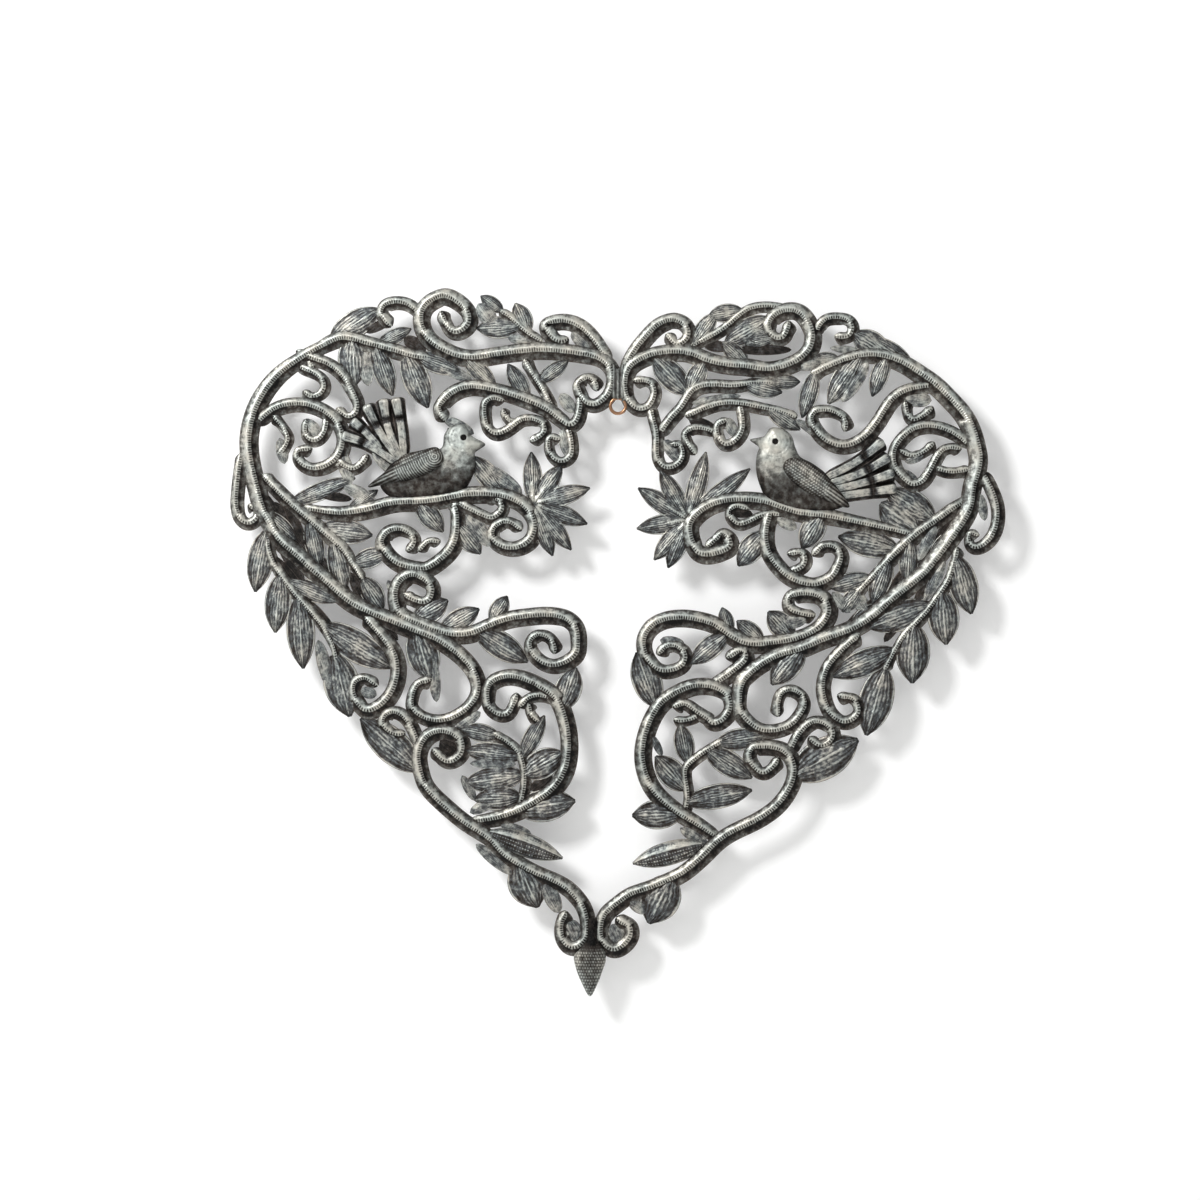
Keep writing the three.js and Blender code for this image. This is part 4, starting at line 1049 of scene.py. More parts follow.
def leaf_run(shape, leaf, kind, rise):
    """Guide of one leaf, web, pit of painted shade or bud from its base to its tip."""
    x0, z0, x1, z1, width = leaf
    share = np.linspace(0, 1, 60)
    p = np.column_stack([x0 + (x1 - x0) * share, z0 + (z1 - z0) * share])
    if kind in (WEB, SHADE_WEB):
        half = np.sqrt(np.clip(1 - (2 * share - 1) ** 2, 0.002, 1)) * width / 2
    else:
        places = [0, 0.03, 0.12, 0.28, 0.42, 0.55, 0.7, 0.82, 0.92, 0.98, 1]
        widths = [0.2, 0.36, 0.66, 0.92, 1, 1, 0.88, 0.66, 0.38, 0.15, 0.03]
        half = blur(np.interp(share, places, widths) * width / 2, 7)
    high = rise * np.sqrt(np.clip(2 * half / width, 0, 1))
    return {
        "points": p * MM,
        "left": half * MM,
        "right": half * MM,
        "tall": shape.sheet + high,
        "share": share,
        "facing": np.full(len(p), 1.0 if x1 > x0 else -1.0),
        "kind": np.full(len(p), kind),
    }


def guide_object(name, runs, closed=False):
    """Mesh of edges along the guides, with their sizes as point attributes."""
    for i, run in enumerate(runs):
        run["lift"] = np.full(len(run["points"]), GUIDE_LIFT * MM * (i % 9))
    points = np.vstack([run["points"] for run in runs])
    vertices = np.column_stack([points[:, 0], np.zeros(len(points)), points[:, 1]])
    edges = []
    start = 0
    for run in runs:
        count = len(run["points"])
        edges += [(start + i, start + i + 1) for i in range(count - 1)]
        if closed:
            edges.append((start + count - 1, start))
        start += count
    mesh = bpy.data.meshes.new(name)
    mesh.from_pydata(vertices.tolist(), edges, [])
    for key in runs[0]:
        if key != "points":
            layer = mesh.attributes.new(key, "FLOAT", "POINT")
            layer.data.foreach_set("value", np.concatenate([run[key] for run in runs]).astype(np.float32))
    made = bpy.data.objects.new(name, mesh)
    bpy.context.scene.collection.objects.link(made)
    return made


# Node trees

class Output:
    """One output of a node. A sum on it adds the node that does it."""

    def __init__(self, tree, made, key=0):
        self.tree, self.node, self.key = tree, made, key

    def __getitem__(self, key):
        return Output(self.tree, self.node, key)

    @property
    def socket(self):
        return self.node.outputs[self.key]

    def do(self, operation, *others, clamp=False):
        """The sum of that name on this output and the others."""
        values = dict(enumerate((self, *others)))
        return node(self.tree, "ShaderNodeMath", values, operation=operation, use_clamp=clamp)

    def clamped(self):
        """This output held between 0 and 1."""
        return self.do("ADD", 0.0, clamp=True)

    def __add__(self, other):
        return self.do("ADD", other)

    def __sub__(self, other):
        return self.do("SUBTRACT", other)

    def __rsub__(self, other):
        return node(self.tree, "ShaderNodeMath", {0: other, 1: self}, operation="SUBTRACT")

    def __mul__(self, other):
        return self.do("MULTIPLY", other)

    def __truediv__(self, other):
        return self.do("DIVIDE", other)

    def __pow__(self, other):
        return self.do("POWER", other)

    def __neg__(self):
        return self.do("MULTIPLY", -1.0)

    def __abs__(self):
        return self.do("ABSOLUTE")


def node(tree, kind, inputs=None, **settings):
    """Adds one node with its settings. Each input is given a value or linked to another node."""
    made = tree.nodes.new(kind)
    for key, value in settings.items():
        setattr(made, key, value)
    for key, value in (inputs or {}).items():
        if isinstance(value, Output):
            tree.links.new(value.socket, made.inputs[key])
        else:
            made.inputs[key].default_value = value
    return Output(tree, made)


def between(share, a, b):
    """a where the share is 0, b where it is 1 and a blend in between."""
    return share * (b - a) + a


def wave(value, pitch):
    """1 on each crest and 0 in each trough, a pitch apart."""
    return (value * (2 * math.pi / pitch)).do("COSINE") * 0.5 + 0.5


def band(value, centre, half):
    """1 on the centre of a band and 0 from its half width outwards."""
    return (1.0 - abs(value - centre) / half).clamped()


def ramp(value, low, high, start=0.0, end=1.0):
    """Start up to low, end from high."""
    return node(value.tree, "ShaderNodeMapRange", {0: value, 1: low, 2: high, 3: start, 4: end})


def profile(across, points):
    """Height or wear across a section, smooth through the given points."""
    made = node(across.tree, "ShaderNodeFloatCurve", {"Value": across})
    line = made.node.mapping.curves[0]
    for i, place in enumerate(points):
        if i < len(line.points):
            line.points[i].location = place
        else:
            line.points.new(*place)
    for i in range(len(points)):
        line.points[i].handle_type = "AUTO_CLAMPED"
    made.node.mapping.update()
    return made


def new_tree(name, numbers, materials, attributes=()):
    """Geometry tree with a guide, numbers and materials for inputs, and its guide's attributes."""
    tree = bpy.data.node_groups.new(name, "GeometryNodeTree")
    tree.interface.new_socket("Guide", in_out="INPUT", socket_type="NodeSocketGeometry")
    for label, default in numbers.items():
        made = tree.interface.new_socket(label, in_out="INPUT", socket_type="NodeSocketFloat")
        made.default_value = default
    for label in materials:
        tree.interface.new_socket(label, in_out="INPUT", socket_type="NodeSocketMaterial")
    tree.interface.new_socket("Geometry", in_out="OUTPUT", socket_type="NodeSocketGeometry")
    at = {}
    for key in attributes:
        at[key] = node(tree, "GeometryNodeInputNamedAttribute", {"Name": key}, data_type=data_type(key))
    return tree, node(tree, "NodeGroupInput"), at


def data_type(key):
    """Whether the attribute of that name is a vector or a number."""
    return "FLOAT_VECTOR" if key in ("spot", "heading") else "FLOAT"


def keep(geometry, values):
    """Keeps values on the points, by name."""
    for key, value in values.items():
        inputs = {"Geometry": geometry, "Name": key, "Value": value}
        geometry = node(
            geometry.tree, "GeometryNodeStoreNamedAttribute", inputs, data_type=data_type(key)
        )
    return geometry


def hand_over(mesh):
    """Makes the mesh the tree's result, smooth and with real geometry."""
    mesh = node(mesh.tree, "GeometryNodeSetShadeSmooth", {"Geometry": mesh, "Shade Smooth": True})
    mesh = node(mesh.tree, "GeometryNodeRealizeInstances", {"Geometry": mesh})
    node(mesh.tree, "NodeGroupOutput", {"Geometry": mesh})


def section(slot, last):
    """Share across a sheet's section and whether the slot is on the outer face. Slots 0 to last run
    over the outer face from edge to edge, and the others come back under it."""
    outer = slot.do("LESS_THAN", last + 0.5)
    over = 1.0 - slot / (last / 2)
    under = (slot - (last + (UNDER_SLOTS + 1) / 2)) / ((UNDER_SLOTS - 1) / 2)
    return between(outer, under, over), outer


def sweep(curve, count, last):
    """Tube along the guide curves that keeps each point's place on the guide and round the section."""
    tree = curve.tree
    curve = node(tree, "GeometryNodeResampleCurve", {"Curve": curve, "Count": count})
    parameter = node(tree, "GeometryNodeSplineParameter")
    curve = keep(curve, {
        "phase": (parameter["Index"] * 0.25).do("FRACT"),
        "spot": node(tree, "GeometryNodeInputPosition"),
        "heading": node(tree, "GeometryNodeInputTangent"),
        "run": parameter["Length"],
    })
    slots = last + 1 + UNDER_SLOTS
    ring = node(tree, "GeometryNodeCurvePrimitiveCircle", {"Resolution": slots, "Radius": MM})
    ring = keep(ring, {"slot": node(tree, "GeometryNodeInputIndex")})
    return node(tree, "GeometryNodeCurveToMesh", {"Curve": curve, "Profile Curve": ring, "Fill Caps": True})


def hand_noise(spot, scale):
    """Slow wander of the hammered surface, centred on nought, with scale spots to the metre."""
    return node(spot.tree, "ShaderNodeTexNoise", {"Vector": spot, "Scale": scale}) - 0.5


def stem_tree(shape):
    """Chased stems and leaves: every stem is a hollow ridge with a pale face, a row of chisel notches
    and a dark slope, and every leaf a dished blade with a lip and veins. The face lies on the side towards the
    light and is pale partly from wear and partly as painted light; the slope away from the light is dark
    partly from patina and partly as painted shade."""
    numbers = {
        "Pitch": shape.notch_pitch,
        "Notch": shape.notch_depth,
        "Sheet": shape.sheet,
        "Lift": 0.0,
        "Uneven": shape.unevenness,
    }
    metals = ["Stem metal", "Leaf metal"]
    tree, given, at = new_tree("chased_stem", numbers, metals, ("run", *SCAFFOLD))
    kind, share = at["kind"], at["share"]
    length = node(tree, "GeometryNodeSplineLength")

    def guides(operation):
        """Curves along the stems' guides, or along the others."""
        picked = node(tree, "FunctionNodeCompare", {0: kind, 1: (STEM + LEAF) / 2}, operation=operation)
        return node(tree, "GeometryNodeMeshToCurve", {"Mesh": given["Guide"], "Selection": picked})

    def shaped(mesh, across, outer, high, cut, worn, metal):
        """Shapes the tube and keeps the wear, with its painted light and shade, and the place on the surface
        for the metal's look.
        """
        side = across.do("MAXIMUM", 0.0) * at["left"] + across.do("MINIMUM", 0.0) * at["right"]
        rim = given["Sheet"] + given["Lift"] + at["lift"]
        rise = high * (at["tall"] - given["Sheet"]).do("MAXIMUM", 0.0)
        wander = hand_noise(at["spot"], 150.0) * given["Uneven"] * high
        depth = rim + rise + wander - cut - (1.0 - outer) * given["Sheet"]
        mesh = keep(mesh, {"worn": between(outer, BACK_WEAR, worn.clamped()), "across": across})
        heading = node(tree, "ShaderNodeSeparateXYZ", {0: at["heading"]})
        place = {"X": -(heading["Z"] * side), "Y": -depth, "Z": heading["X"] * side}
        place = node(tree, "ShaderNodeCombineXYZ", place)
        position = node(tree, "ShaderNodeVectorMath", {0: at["spot"], 1: place}, operation="ADD")
        mesh = node(tree, "GeometryNodeSetPosition", {"Geometry": mesh, "Position": position})
        return node(tree, "GeometryNodeSetMaterial", {"Geometry": mesh, "Material": metal})

    # Stems, with four rows of points to each notch
    notches = (length / given["Pitch"]).do("ROUND").do("MAXIMUM", 2.0)
    mesh = sweep(guides("LESS_THAN"), notches * 4.0 + 1.0, STEM_FACE)
    across, outer = section(at["slot"], STEM_FACE)
    across = across.do("SIGN") * abs(across) ** between(outer, 1.0, 1.25)
    wide = abs(across)
    # 1 on the side of the crest that faces the light and 0 on the other; the stem's painted light and shade
    # follow it
    lamp_side = (across * at["facing"] * 6.0 + 0.5).clamped()
    flat = profile(wide, [
        (0, 1), (0.16, 0.95), (0.4, 0.8), (0.65, 0.62), (0.8, 0.5), (0.9, 0.36), (0.96, 0.18), (1, 0)
    ])
    slope = profile(wide, [
        (0, 1), (0.12, 0.98), (0.22, 0.86), (0.32, 0.6), (0.45, 0.4), (0.62, 0.26), (0.82, 0.16),
        (0.94, 0.08), (1, 0),
    ])
    notched = profile(wide, [
        (0, 0.4), (0.05, 0.7), (0.1, 0.95), (0.17, 1), (0.24, 0.8), (0.3, 0.25), (0.35, 0), (1, 0)
    ])
    nicked = profile(wide, [(0, 0.4), (0.04, 0.25), (0.09, 0), (1, 0)])
    # Tone across the stem, partly wear and patina and partly painted light and shade: the side towards the
    # light is painted pale, and the slope away from it is painted dark with a darker line at its foot
    lit = profile(wide, [
        (0, 0.95), (0.1, 0.95), (0.22, 0.8), (0.5, 0.57), (0.72, 0.44), (0.84, 0.3), (0.94, 0.52), (1, 0.28)
    ])
    unlit = profile(wide, [
        (0, 0.9), (0.12, 1), (0.24, 0.96), (0.32, 0.5), (0.4, 0.05), (0.52, 0.12), (0.72, 0.26),
        (0.88, 0.34), (1, 0.28),
    ])
    bite = between(lamp_side, notched, nicked) * (1.0 - abs(at["phase"] * 2.0 - 1.0))
    cut = bite * outer * given["Notch"]
    worn = between(lamp_side, unlit, lit) - bite
    stems = shaped(mesh, across, outer, between(lamp_side, slope, flat), cut, worn, given["Stem metal"])

    # Leaves, webs, pits painted dark as painted shade, buds and the flutes of the tails
    flute = kind.do("GREATER_THAN", (BUD + FLUTE) / 2)
    bud = kind.do("GREATER_THAN", (SHADE_WEB + BUD) / 2) - flute
    web = kind.do("GREATER_THAN", (LEAF + WEB) / 2) * kind.do("LESS_THAN", (SHADE_WEB + BUD) / 2)
    shade_web = kind.do("GREATER_THAN", (WEB + SHADE_WEB) / 2)
    spacing = between(bud, between(web, 0.7 * MM, 1.8 * MM), 0.4 * MM)
    rows = (length / spacing).do("ROUND").do("MAXIMUM", 12.0)
    mesh = sweep(guides("GREATER_THAN"), rows, LEAF_FACE)
    across, outer = section(at["slot"], LEAF_FACE)
    wide = abs(across)
    dome = profile(wide, [
        (0, 1), (0.1, 0.9), (0.35, 0.7), (0.6, 0.42), (0.8, 0.16), (0.88, 0.2), (0.95, 0.26), (1, 0)
    ])
    round_top = profile(wide, [(0, 1), (0.25, 0.97), (0.5, 0.84), (0.75, 0.58), (0.9, 0.32), (1, 0)])
    channel = profile(wide, [
        (0, 1), (0.3, 0.98), (0.5, 0.9), (0.62, 0.5), (0.74, 0.14), (0.88, 0.04), (1, 0)
    ])
    high = between(flute, between(bud, dome, round_top), channel)
    fan = wide * 27.0 + share * -8.0 + hand_noise(at["spot"], 260.0) * 7.0
    vein = fan.do("SINE") * (1.0 - wide ** 3.0)
    grain = (vein * -0.5 + 0.5) * (0.75 * MM) * (1.0 - flute - web)
    dots = (across * 19.0).do("COSINE").do("MAXIMUM", 0.0) * wave(at["run"], 2.1 * MM)
    lower = profile(across * at["facing"] * 0.5 + 0.5, [
        (0, 0.2), (0.08, 0.6), (0.16, 1), (0.6, 1), (0.68, 0.1), (0.76, 0.1), (0.84, 0.5), (1, 0.3)
    ])
    pips = (dots * lower - lower) * (-0.55 * MM)
    cut = between(bud, grain, pips) * outer
    lip = profile(wide, [
        (0, 0.78), (0.07, 0.52), (0.2, 0.48), (0.6, 0.41), (0.8, 0.27), (0.88, 0.45), (0.94, 0.82), (1, 0.38)
    ])
    # Painted highlight: each leaf is painted brighter along the middle of its length and darker towards its
    # ends
    belly = (share * math.pi).do("SINE")
    leaf_wear_and_light = lip + vein * 0.14 + belly * 0.2 - 0.13
    # Plain webs are mid grey; pits are painted nearly black as painted shade
    leaf_wear_and_light = between(web, leaf_wear_and_light, between(shade_web, 0.56, 0.13))
    worn_bud = 0.85 - lower * (0.54 - dots * 0.5)
    notch = (abs(share - TAIL_NOTCH) * 11.0).clamped()
    worn_flute = profile(wide, [
        (0, 0.66), (0.3, 0.62), (0.45, 0.7), (0.54, 0.5), (0.66, 0.14), (0.86, 0.16), (1, 0.3)
    ]) * (notch * 0.85 + 0.15)
    worn = between(flute, between(bud, leaf_wear_and_light, worn_bud), worn_flute)
    leaves = shaped(mesh, across, outer, high, cut, worn, given["Leaf metal"])

    joined = node(tree, "GeometryNodeJoinGeometry")
    for part in (stems, leaves):
        tree.links.new(part.socket, joined.node.inputs[0])
    hand_over(joined)
    return tree


def relief_tree(name, shape, pattern):
    """Raised sheet over a closed outline, domed by the distance to its edge and patterned on its face."""
    numbers = {
        "Middle X": 0.0, "Middle Z": 0.0, "Mark X": 0.0, "Mark Z": 0.0, "Tip X": 0.0, "Tip Z": 0.0,
        "Arcs": 0.0, "Lower side": 1.0, "Back": 0.0, "Rim": 2 * MM, "High": 8 * MM, "Reach": 9 * MM,
        "Sheet": shape.sheet, "Uneven": shape.unevenness,
    }
    tree, given, at = new_tree(name, numbers, ["Metal"], ("slot", "spot"))
    curve = node(tree, "GeometryNodeMeshToCurve", {"Mesh": given["Guide"]})
    curve = node(
        tree, "GeometryNodeResampleCurve", {"Curve": curve, "Length": OUTLINE_STEP * MM}, mode="LENGTH"
    )
    curve = keep(curve, {"spot": node(tree, "GeometryNodeInputPosition")})
    line = node(tree, "GeometryNodeCurvePrimitiveLine", {"End": (0, 0, MM)})
    line = node(tree, "GeometryNodeResampleCurve", {"Curve": line, "Count": FACE_STEPS + UNDER_STEPS + 2})
    line = keep(line, {"slot": node(tree, "GeometryNodeInputIndex")})
    mesh = node(tree, "GeometryNodeCurveToMesh", {"Curve": curve, "Profile Curve": line})

    slot = at["slot"]
    outer = slot.do("LESS_THAN", FACE_STEPS + 0.5)
    edge = slot.do("LESS_THAN", FACE_STEPS + 1.5)
    over = 1.0 - slot / FACE_STEPS
    under = (slot - (FACE_STEPS + 1)) / UNDER_STEPS
    middle = node(tree, "ShaderNodeCombineXYZ", {"X": given["Middle X"], "Z": given["Middle Z"]})
    way = node(tree, "ShaderNodeVectorMath", {0: middle, 1: at["spot"]}, operation="SUBTRACT")
    way = {0: way, "Scale": between(outer, under, over)}
    way = node(tree, "ShaderNodeVectorMath", way, operation="SCALE")
    flat = node(tree, "ShaderNodeVectorMath", {0: at["spot"], 1: way}, operation="ADD")
    nearest = {0: given["Guide"], "Source Position": flat}
    nearest = node(tree, "GeometryNodeProximity", nearest, target_element="EDGES")
    far = 1.0 - (nearest["Distance"] / given["Reach"]).do("MINIMUM", 1.0)
    dome = (1.0 - far * far).do("SQRT")
    noise = node(tree, "ShaderNodeTexNoise", {"Vector": flat, "Scale": 210.0, "Detail": 4.0})
    cut, worn = pattern(given, flat, dome, noise)
    top = given["Rim"] + (given["High"] - given["Rim"]) * dome + (noise - 0.5) * given["Uneven"] * dome
    below = between(edge, (top - given["Sheet"]).do("MAXIMUM", given["Back"]), given["Back"])
    depth = between(outer, below, top - cut * outer)
    depth = node(tree, "ShaderNodeCombineXYZ", {"Y": -depth})
    position = node(tree, "ShaderNodeVectorMath", {0: flat, 1: depth}, operation="ADD")
    mesh = keep(mesh, {"worn": between(outer, BACK_WEAR, worn.clamped()), "across": 0.0})
    mesh = node(tree, "GeometryNodeSetPosition", {"Geometry": mesh, "Position": position})
    mesh = node(tree, "GeometryNodeMergeByDistance", {"Geometry": mesh, "Distance": 0.02 * MM})
    hand_over(node(tree, "GeometryNodeSetMaterial", {"Geometry": mesh, "Material": given["Metal"]}))
    return tree


# Patterns of the reliefs. Each gives how deep the face is cut, in metres, and how worn it is, with some
# painted shade and painted highlight. Places and widths in them are in millimetres.

def local_axes(given, flat):
    """Place on the face along and across the line from the mark to the tip, and the distance from
    the mark, in millimetres."""
    tree = flat.tree
    mark, tip = (
        node(tree, "ShaderNodeCombineXYZ", {"X": given[key + " X"], "Z": given[key + " Z"]})
        for key in ("Mark", "Tip")
    )
    away = node(tree, "ShaderNodeVectorMath", {0: flat, 1: mark}, operation="SUBTRACT")
    axis = node(tree, "ShaderNodeVectorMath", {0: tip, 1: mark}, operation="SUBTRACT")
    axis = node(tree, "ShaderNodeVectorMath", {0: axis}, operation="NORMALIZE")
    sideways = {0: axis, 1: (0.0, 1.0, 0.0)}
    sideways = node(tree, "ShaderNodeVectorMath", sideways, operation="CROSS_PRODUCT")
    along, side = (
        node(tree, "ShaderNodeVectorMath", {0: away, 1: way}, operation="DOT_PRODUCT")["Value"]
        for way in (axis, sideways)
    )
    away = node(tree, "ShaderNodeVectorMath", {0: away}, operation="LENGTH")["Value"]
    return along * 1000.0, side * 1000.0, away * 1000.0


def body_pattern(given, flat, dome, noise):
    """Smooth pale head with a punched and ringed eye, a hood line, a collar and a mottled breast."""
    along, _, away = local_axes(given, flat)
    ripple = (noise - 0.5) * 7.0
    eye = 1.0 - ramp(away, 1.9, 2.4)
    ring = band(away, 3.2, 0.9)
    socket = band(away, 4.7, 0.8)
    ahead = ramp(along, -3.0, 3.0)
    hood = band(away + ripple * 0.3, 9.0, 1.3) * ahead
    crown = band(away, 11.6, 1.0) * ahead
    belly = ramp(away + ripple, 9.0, 34.0)
    fluff = ramp(away, 13.0, 20.0) * noise
    cut = fluff * (1.2 * MM) + eye * (0.9 * MM)
    worn = dome * 0.3 + noise * 0.95 - 0.3 + belly * -0.6 + 0.38
    lines = ((hood, 0.2, 0.16), (crown, 0.15, 0.14), (socket, 0.05, 0.05), (ring, -0.05, -0.04))
    for line, deep, dark in lines:
        cut = cut + line * (deep * MM)
        worn = worn - line * dark
    return cut, worn - eye * 2.5


def wing_pattern(given, flat, dome, noise):
    """Small feathers over two rows of barred ones and long feathers to the tip. The small ones are
    nested arcs where Arcs is 1 and rows of dots where it is 0."""
    along, side, away = local_axes(given, flat)
    rows = wave(side, 2.5)
    dots = wave(along * 0.9 + abs(side) * 0.5, 1.9) * wave(side, 2.1)
    small = between(given["Arcs"], dots, wave(away, 1.8))
    low = ramp(side * given["Lower side"], 1.6, 2.4)
    far = ramp(along, 30.0, 33.0)
    relief = between(far, between(low, small, wave(along, 1.8) * rows), rows)
    cut = (1.0 - relief) * (0.5 * MM)
    # Painted shade and highlight: the wing is painted darker towards its edge, where it rises from the body,
    # and paler on its top
    worn = relief * 0.4 + noise * 0.35 + 0.04 + dome ** 3.0 * 0.34 - 0.16 - far * 0.1
    return cut, worn


def cone_pattern(given, flat, dome, noise):
    """Cross rows of punched dots, as on a pine cone, below a dark neck."""
    along, side, _ = local_axes(given, flat)
    row = along / 2.3
    offset = row.do("FLOOR").do("FLOORED_MODULO", 2.0) * math.pi
    beads = (side * (2 * math.pi / 2.0) + offset).do("COSINE") * 0.5 + 0.5
    swell = (row.do("FRACT") * math.pi).do("SINE") ** 0.7
    relief = swell * (beads * 0.6 + 0.4)
    cut = (1.0 - relief) * (0.9 * MM)
    # Painted highlight: the cone is painted brighter towards its rim
    worn = (relief * 0.42 + noise * 0.45) * ramp(along, -13.0, -5.0) + (1.0 - dome) * 0.3
    return cut, worn


def plate_pattern(given, flat, dome, noise):
    """Upright grooves."""
    _, side, _ = local_axes(given, flat)
    grooves = wave(side, 3.2)
    return (1.0 - grooves) * (0.8 * MM), grooves * 0.25 + noise * 0.6


def wire_tree():
    """Round wire bent to a ring in the plane of the heart."""
    numbers = {"Radius": 5.75 * MM, "Wire": 1.25 * MM, "Depth": 1.55 * MM}
    tree, given, _ = new_tree("bent_wire", numbers, ["Metal"])
    ring, round_wire = (
        node(tree, "GeometryNodeCurvePrimitiveCircle", {"Resolution": steps, "Radius": given[key]})
        for steps, key in ((96, "Radius"), (20, "Wire"))
    )
    mesh = node(tree, "GeometryNodeCurveToMesh", {"Curve": ring, "Profile Curve": round_wire})
    shift = node(tree, "ShaderNodeCombineXYZ", {"Y": -given["Depth"]})
    turned = {"Geometry": mesh, "Translation": shift, "Rotation": (math.pi / 2, 0, 0)}
    mesh = node(tree, "GeometryNodeTransform", turned)
    push = (node(tree, "ShaderNodeTexNoise", {"Scale": 120.0}) - 0.5) * (0.4 * MM)
    push = {0: node(tree, "GeometryNodeInputNormal"), "Scale": push}
    push = node(tree, "ShaderNodeVectorMath", push, operation="SCALE")
    mesh = node(tree, "GeometryNodeSetPosition", {"Geometry": mesh, "Offset": push})
    hand_over(node(tree, "GeometryNodeSetMaterial", {"Geometry": mesh, "Material": given["Metal"]}))
    return tree


def grow(name, guide, tree, inputs):
    """Runs the tree on the guide, keeps the result as a plain mesh and stands it in for its CAD node."""
    modifier = guide.modifiers.new("Build", "NODES")
    modifier.node_group = tree
    sockets = {s.name: s.identifier for s in tree.interface.items_tree if s.in_out == "INPUT"}
    for label, value in inputs.items():
        modifier[sockets[label]] = value
    depsgraph = bpy.context.evaluated_depsgraph_get()
    mesh = bpy.data.meshes.new_from_object(guide.evaluated_get(depsgraph), depsgraph=depsgraph)
    bpy.data.objects.remove(guide)
    if not len(mesh.polygons):
        raise RuntimeError(f"{name} came out empty")
    for key in SCAFFOLD:
        if key in mesh.attributes:
            mesh.attributes.remove(mesh.attributes[key])
    if signed_volume(mesh) < 0:
        mesh.flip_normals()
    made = bpy.data.objects.new(name + "_look", mesh)
    mesh.name = made.name
    bpy.context.scene.collection.objects.link(made)
    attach(made, "root")
    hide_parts(name)


def signed_volume(mesh):
    """Volume inside the mesh, below nought where its faces point inwards."""
    mesh.calc_loop_triangles()
    corners = np.empty(len(mesh.loop_triangles) * 3, np.int32)
    mesh.loop_triangles.foreach_get("vertices", corners)
    points = np.empty(len(mesh.vertices) * 3, np.float32)
    mesh.vertices.foreach_get("co", points)
    a, b, c = points.reshape(-1, 3)[corners].reshape(-1, 3, 3).transpose(1, 0, 2).astype(float)
    return float(np.einsum("ij,ij->i", a, np.cross(b, c)).sum())


# Materials

def new_material(name):
    """Empty material, and the place on the object for its patterns."""
    material = bpy.data.materials.new(name)
    material.use_nodes = True
    tree = material.node_tree
    tree.nodes.clear()
    return material, tree, node(tree, "ShaderNodeTexCoord")["Object"]


# Sizes of the patina's noises in the steel, in spots to the metre: handled patches of 18 mm, mottling of
# 4 mm and grit of 1.6 mm, which is coarser than the real grit so that it shows
PATCHES, MOTTLING, GRIT = 55.0, 260.0, 620.0

# File marks of 11 mm along a stem or leaf: marks to the metre, and marks across half its width
MARKS_ALONG, MARKS_ACROSS = 90.0, 9.0


def steel(name, tones, roughness, vein, streak, mottle):
    """Chased steel sheet: black patina left in the cuts, worn bright on what stands proud. The wear
    comes from how the surface was shaped, with the painted light and shade that the pieces carry in it, and
    the rest from noise in the object's own space. The upper half is painted brighter as painted light."""
    material, tree, place_on = new_material(name)
    finish = bpy.context.scene.heart_finish
    worn, across, run = (
        node(tree, "ShaderNodeAttribute", attribute_name=key)["Fac"] for key in ("worn", "across", "run")
    )
    broad = node(tree, "ShaderNodeTexNoise", {"Vector": place_on, "Scale": MOTTLING, "Detail": 4.0})
    fine = {"Vector": place_on, "Scale": GRIT, "Detail": 5.0, "Roughness": 0.65}
    fine = node(tree, "ShaderNodeTexNoise", fine)
    wide = node(tree, "ShaderNodeTexNoise", {"Vector": place_on, "Scale": PATCHES, "Detail": 2.0})
    lines = node(tree, "ShaderNodeCombineXYZ", {"X": across * MARKS_ACROSS, "Y": run * MARKS_ALONG})
    grain = node(tree, "ShaderNodeTexNoise", {"Vector": lines, "Scale": 1.0, "Detail": 3.0})
    level = worn
    for noise, share in ((broad, mottle), (wide, mottle * 0.55), (fine, mottle * 0.65), (grain, streak)):
        level = level + (noise - 0.5) * share
    # Painted light: the upper half is painted brighter and the lower half darker, as if nearer to and farther
    # from the lamp
    height = node(tree, "ShaderNodeSeparateXYZ", {0: place_on})["Z"]
    level = (level + ramp(height, -0.36, 0.06, -0.05, 0.05)).clamped()
    scale = node(tree, "ShaderNodeValToRGB", {"Fac": level})
    stops = scale.node.color_ramp.elements
    for position in (0.2, 0.46, 0.74):
        stops.new(position)
    for stop, tone in zip(stops, tones):
        stop.color = (*tone, 1)
    rim = ramp(abs(across), 0.86, 1.0, 0.0, 0.6) * broad
    colour = {0: rim, 6: scale, 7: (*finish.tint, 1)}
    colour = node(tree, "ShaderNodeMix", colour, data_type="RGBA")[2]
    cast = node(tree, "ShaderNodeValToRGB", {"Fac": wide})
    casts = ((0.38, (0.96, 1.01, 1.03)), (0.64, (1.04, 0.99, 0.95)))
    for stop, (position, tone) in zip(cast.node.color_ramp.elements, casts):
        stop.position = position
        stop.color = (*tone, 1)
    colour = {0: 1.0, 6: colour, 7: cast}
    colour = node(tree, "ShaderNodeMix", colour, data_type="RGBA", blend_type="MULTIPLY")[2]
    bump = {"Height": fine + grain * vein, "Distance": 0.5 * MM, "Strength": 0.7}
    surface = node(tree, "ShaderNodeBsdfPrincipled", {
        "Base Color": colour,
        "Metallic": 0.72,
        "Roughness": level * -0.2 + roughness,
        "Normal": node(tree, "ShaderNodeBump", bump),
    })
    node(tree, "ShaderNodeOutputMaterial", {"Surface": surface})
    return material


# Dull spots of 3 mm on the wire, in spots to the metre
WIRE_SPOTS = 350.0


